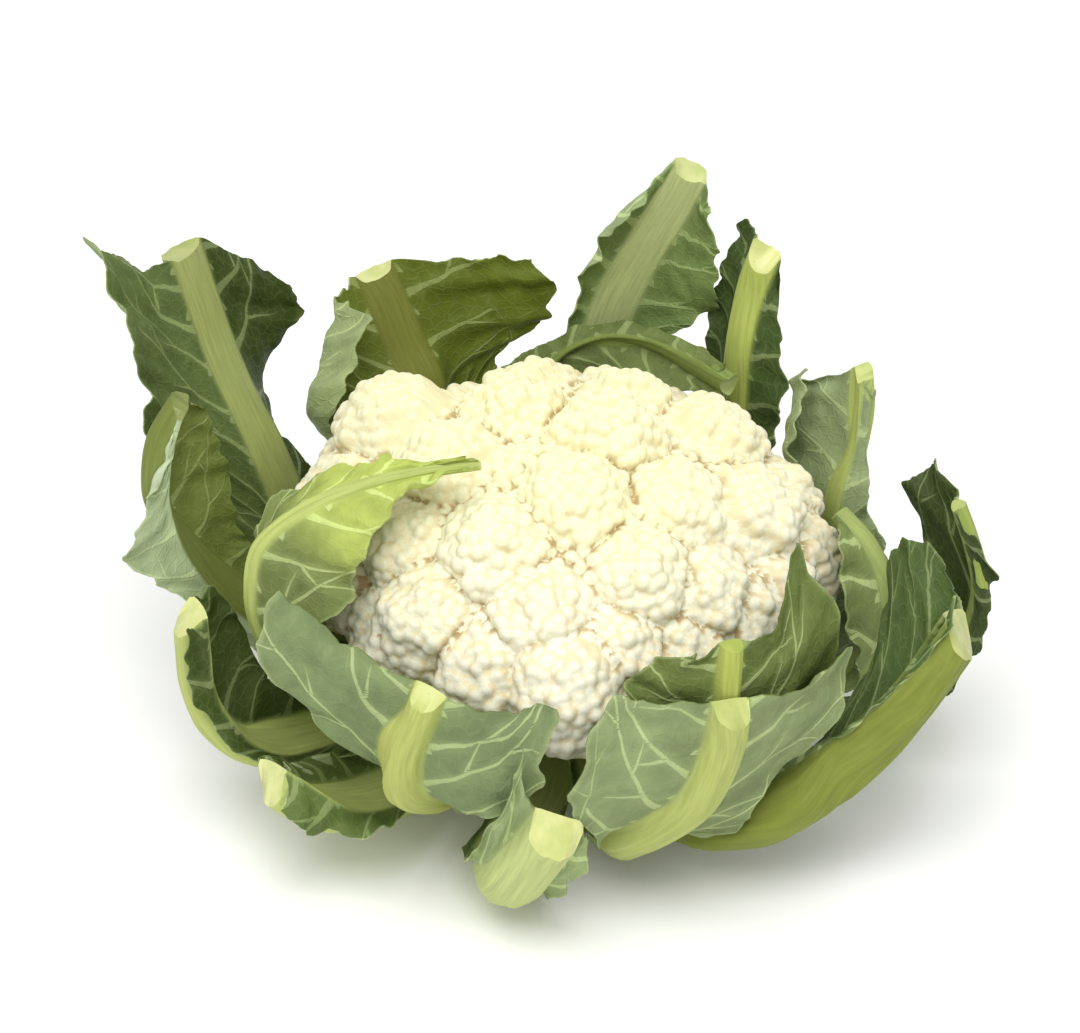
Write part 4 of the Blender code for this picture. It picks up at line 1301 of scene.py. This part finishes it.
def veins_of(draw, breadth, tall, width):
    """The side veins of one side of a leaf, and their branches."""
    veins = []
    along = draw.uniform(2, 8) * MM
    while along < tall:
        heading = math.radians(draw.uniform(18, 40))
        size = width * draw.uniform(0.6, 1.15)
        bend = draw.uniform(0.002, 0.012)
        veins.append(grown(draw, (0.0, along), heading, size, bend, 90 * MM, breadth, veins))
        along += draw.uniform(13, 20) * MM
    for main in list(veins):
        side = draw.choice((-1, 1))
        at = draw.integers(7, 14)
        while at < len(main) - 3:
            turn = math.atan2(main[at + 1][1] - main[at][1], main[at + 1][0] - main[at][0])
            heading = turn + side * math.radians(draw.uniform(30, 50))
            size = main[at][2] * 1.1
            others = [vein for vein in veins if vein is not main]
            longest = draw.uniform(8, 26) * MM
            veins.append(grown(draw, main[at][:2], heading, size, -0.006 * side, longest, breadth, others))
            side = -side
            at += draw.integers(9, 16)
    return veins


def pieces_of(veins):
    """Every straight piece of the veins: its start, its run and its half width."""
    rows = [(*a[:2], b[0] - a[0], b[1] - a[1], a[2]) for vein in veins for a, b in zip(vein, vein[1:])]
    return np.array(rows).reshape(-1, 5)


def vein_field(across, along, pieces):
    """Each point's distance from the nearest vein, and which piece of vein that is."""
    nearest = np.full(across.shape, VEIN_REACH)
    which = np.zeros(across.shape, int)
    for number, (x, y, run_x, run_y, _) in enumerate(pieces):
        near = np.nonzero((abs(across - x) < VEIN_REACH) & (abs(along - y) < VEIN_REACH))
        apart, _ = away_from(across[near] - x, along[near] - y, run_x, run_y)
        closer = apart < nearest[near]
        spot = tuple(index[closer] for index in near)
        nearest[spot] = apart[closer]
        which[spot] = number
    return nearest, which


def away_from(x, y, run_x, run_y):
    """How far points lie from a piece of vein, and from its line with the side they lie on."""
    longest = np.maximum(run_x**2 + run_y**2, 1e-12)
    share = np.clip((x * run_x + y * run_y) / longest, 0.0, 1.0)
    return np.hypot(x - share * run_x, y - share * run_y), (run_x * y - run_y * x) / np.sqrt(longest)


def store_veins(mesh, across, along, pieces, which, blade):
    """Keeps each face corner's distance from one vein, the same for the whole face, and how wide
    the vein is there. So the line of a vein never jumps inside a face."""
    corner = np.empty(len(mesh.loops), np.int32)
    mesh.loops.foreach_get("vertex_index", corner)
    corner %= across.size
    first = np.empty(len(mesh.polygons), np.int32)
    mesh.polygons.foreach_get("loop_start", first)
    lowest = np.minimum.reduceat(corner, first)
    sizes = np.diff(np.append(first, len(corner)))
    lowest = np.repeat(lowest, sizes)
    x, y, run_x, run_y, half = pieces[which.ravel()[lowest]].T
    apart, side = away_from(across.ravel()[corner] - x, along.ravel()[corner] - y, run_x, run_y)
    half = half * blade.ravel()[lowest] * np.clip((VEIN_FADE - apart) / (0.5 * VEIN_FADE), 0.0, 1.0)
    for name, values in (("vein", side / MM), ("thick", half / MM)):
        mesh.attributes.new(name, "FLOAT", "CORNER").data.foreach_set("value", values.astype(np.float32))


def fine_leaf(name, order, inner, outer, settings):
    """A leaf's fine shell on its coarse faces."""
    draw = np.random.default_rng(SEED + order)
    sheet = Sheet(name, inner, outer)
    sheet.trimmed(draw, settings)
    sheet.lifted(LIFTS.get(name, 0.0))
    sheet.flattened()
    across, along, on_rib, out = sheet.across, sheet.along, sheet.on_rib, sheet.out
    sign = np.where(sheet.number < sheet.right, -1.0, 1.0)
    veins = []
    for (part, _), turn in zip(sheet.sides, (-1, 1)):
        drawn = veins_of(draw, across[:, part].max(), sheet.tall, settings.vein_width)
        veins += [[(x * turn, y, wide) for x, y, wide in vein] for vein in drawn]
    pieces = pieces_of(veins)
    nearest, which = vein_field(across * sign, along, pieces)
    beside = np.clip((sheet.level / sheet.level[:, sheet.left, None]) * 2 - 1, -1.0, 1.0)
    crown = (1 - beside**2) * on_rib
    ways = unit(smoothed(grid_normals(sheet.inner), 2))
    top = sheet.share[:, None] ** 5
    fade = np.maximum(np.sqrt(sheet.share)[:, None] * out**2.5, top * np.minimum(1.0, 2 * out))
    frill = settings.frill * fade * (ripple(draw, along, 3, FRILL_WAVE) + 0.5 * ripple(draw, sheet.level, 3, FRILL_WAVE) - 0.5)
    puff = 1 - np.exp(-((nearest / PUFF_REACH) ** 2))
    quilt = -settings.puff * puff * np.minimum(1.0, 3 * out)
    shift = ways * (frill + quilt)[..., None]
    grooves = GROOVE * ripple(draw, sheet.level, 3, GROOVE_WAVE) * on_rib
    depth = sheet.depth * np.where(on_rib, 1.0, 1 - 0.5 * out**2)[:, None]
    raised = settings.vein_height * np.exp(-((nearest / VEIN_SPREAD) ** 2)) * ~on_rib * (1 - 0.6 * out)
    outer_face = sheet.inner + depth + shift - ways * (raised + grooves)[..., None]
    inner_face = sheet.inner + shift - ways * (raised * 0.25 - INNER_CROWN * crown)[..., None]
    count, wide = across.shape
    body = leaf_body(count, wide)
    for face in body.faces:
        ends = [vertex.index % across.size // wide for vertex in face.verts]
        strip = [vertex.index % wide for vertex in face.verts]
        both = len({vertex.index // across.size for vertex in face.verts}) == 2
        if both and min(ends) == count - 1 and sheet.right <= min(strip) and max(strip) <= sheet.left:
            face.material_index = 1
    made = finished(name + "_fine", body, leaf_look(name, settings), cut_look(name, settings))
    both = np.concatenate((inner_face.reshape(-1, 3), outer_face.reshape(-1, 3)))
    made.data.vertices.foreach_set("co", both.ravel())
    spot = np.stack((across * sign + sheet.level * on_rib, along, np.full(across.shape, order * 0.1)), -1)
    on_stalk = np.where(on_rib, 0.5 + 0.5 * (1 - abs(beside) ** 3), 0.5 * np.exp(-across / RIB_BLEND))
    store(made.data, "rib", np.tile(on_stalk.ravel(), 2))
    store_veins(made.data, across * sign, along, pieces, which, np.tile(~on_rib, (count, 1)))
    # The rim band along the margin, for a pale edge that is partly a painted highlight
    store(made.data, "rim", np.tile((np.clip((out - 0.965) / 0.03, 0, 1) + 0 * across).ravel(), 2))
    store(made.data, "inner", np.repeat((1.0, 0.0), across.size))
    store(made.data, "glow", np.tile((np.exp(-((nearest / VEIN_GLOW) ** 2)) * (1 - 0.7 * out)).ravel(), 2))
    store(made.data, "up", np.tile(np.repeat(sheet.share, wide), 2))
    store(made.data, "place", np.tile(spot.reshape(-1, 3), (2, 1)), "FLOAT_VECTOR")
    made.data.update()
    made.data.set_sharp_from_angle(angle=math.radians(62))
    dress(made, name)


def make_leaves(settings):
    """Every leaf's fine shell."""
    for order, (name, (body, inner, outer)) in enumerate(settled_leaves().items()):
        body.free()
        fine_leaf(name, order, inner, outer, settings)


def make_stage(settings):
    """The floor, the light and the camera."""
    body = bmesh.new()
    bmesh.ops.create_grid(body, x_segments=8, y_segments=8, size=3.0)
    floor = finished("floor", body, floor_look(settings))
    world = bpy.data.worlds.new("studio")
    world.use_nodes = True
    world.node_tree.nodes["Background"].inputs["Color"].default_value = (1.0, 1.0, 1.0, 1.0)
    world.node_tree.nodes["Background"].inputs["Strength"].default_value = settings.sky
    bpy.context.scene.world = world
    lamp = bpy.data.lights.new("key", "AREA")
    lamp.energy = settings.key
    lamp.size = 0.9
    key = bpy.data.objects.new("key", lamp)
    key.location = (-0.10, -0.50, 1.28)
    key.rotation_mode = "QUATERNION"
    key.rotation_quaternion = (Vector((0.0, 0.0, 0.08)) - key.location).to_track_quat("-Z", "Y")
    bpy.context.scene.collection.objects.link(key)
    lens = bpy.data.cameras.new("view")
    lens.sensor_width = 36.0
    lens.lens = settings.lens
    camera = bpy.data.objects.new("view", lens)
    target = Vector((-7.8, 8.15, 81.6)) * MM
    tilt = math.radians(35.0)
    back = Vector((0.0, -math.cos(tilt), math.sin(tilt)))
    camera.location = target + back * 1.1
    camera.rotation_mode = "QUATERNION"
    camera.rotation_quaternion = (-back).to_track_quat("-Z", "Y")
    bpy.context.scene.collection.objects.link(camera)
    bpy.context.scene.camera = camera
    bpy.context.scene.view_settings.view_transform = "Standard"


class AddStem(bpy.types.Operator):
    """Adds the fine stump"""

    bl_idname = "cauliflower.add_stem"
    bl_label = "Stem"

    def execute(self, context):
        make_stem(context.scene.leaf_settings)
        return {"FINISHED"}


class AddCurd(bpy.types.Operator):
    """Adds the budded curd"""

    bl_idname = "cauliflower.add_curd"
    bl_label = "Curd"

    def execute(self, context):
        make_curd(context.scene.curd_settings)
        return {"FINISHED"}


class AddLeaves(bpy.types.Operator):
    """Adds every leaf"""

    bl_idname = "cauliflower.add_leaves"
    bl_label = "Leaves"

    def execute(self, context):
        make_leaves(context.scene.leaf_settings)
        return {"FINISHED"}


class AddStage(bpy.types.Operator):
    """Adds the floor, the lights and the camera"""

    bl_idname = "cauliflower.add_stage"
    bl_label = "Stage"

    def execute(self, context):
        make_stage(context.scene.stage_settings)
        return {"FINISHED"}


class CauliflowerPanel(bpy.types.Panel):
    """Lists the pieces in the sidebar"""

    bl_idname = "VIEW3D_PT_cauliflower"
    bl_label = "Cauliflower"
    bl_space_type = "VIEW_3D"
    bl_region_type = "UI"
    bl_category = "Cauliflower"

    def draw(self, context):
        for kind in OPERATORS:
            self.layout.operator(kind.bl_idname)


OPERATORS = (AddStem, AddCurd, AddLeaves, AddStage)
SETTINGS = {"curd_settings": CurdSettings, "leaf_settings": LeafSettings, "stage_settings": StageSettings}


def register():
    for kind in (*SETTINGS.values(), *OPERATORS, CauliflowerPanel):
        bpy.utils.register_class(kind)
    for name, kind in SETTINGS.items():
        setattr(bpy.types.Scene, name, bpy.props.PointerProperty(type=kind))


def unregister():
    for name in SETTINGS:
        delattr(bpy.types.Scene, name)
    for kind in reversed((*SETTINGS.values(), *OPERATORS, CauliflowerPanel)):
        bpy.utils.unregister_class(kind)


def main():
    register()
    bpy.ops.cauliflower.add_stem()
    bpy.ops.cauliflower.add_curd()
    bpy.ops.cauliflower.add_leaves()
    bpy.ops.cauliflower.add_stage()
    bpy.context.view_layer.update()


if __name__ == "__main__":
    main()
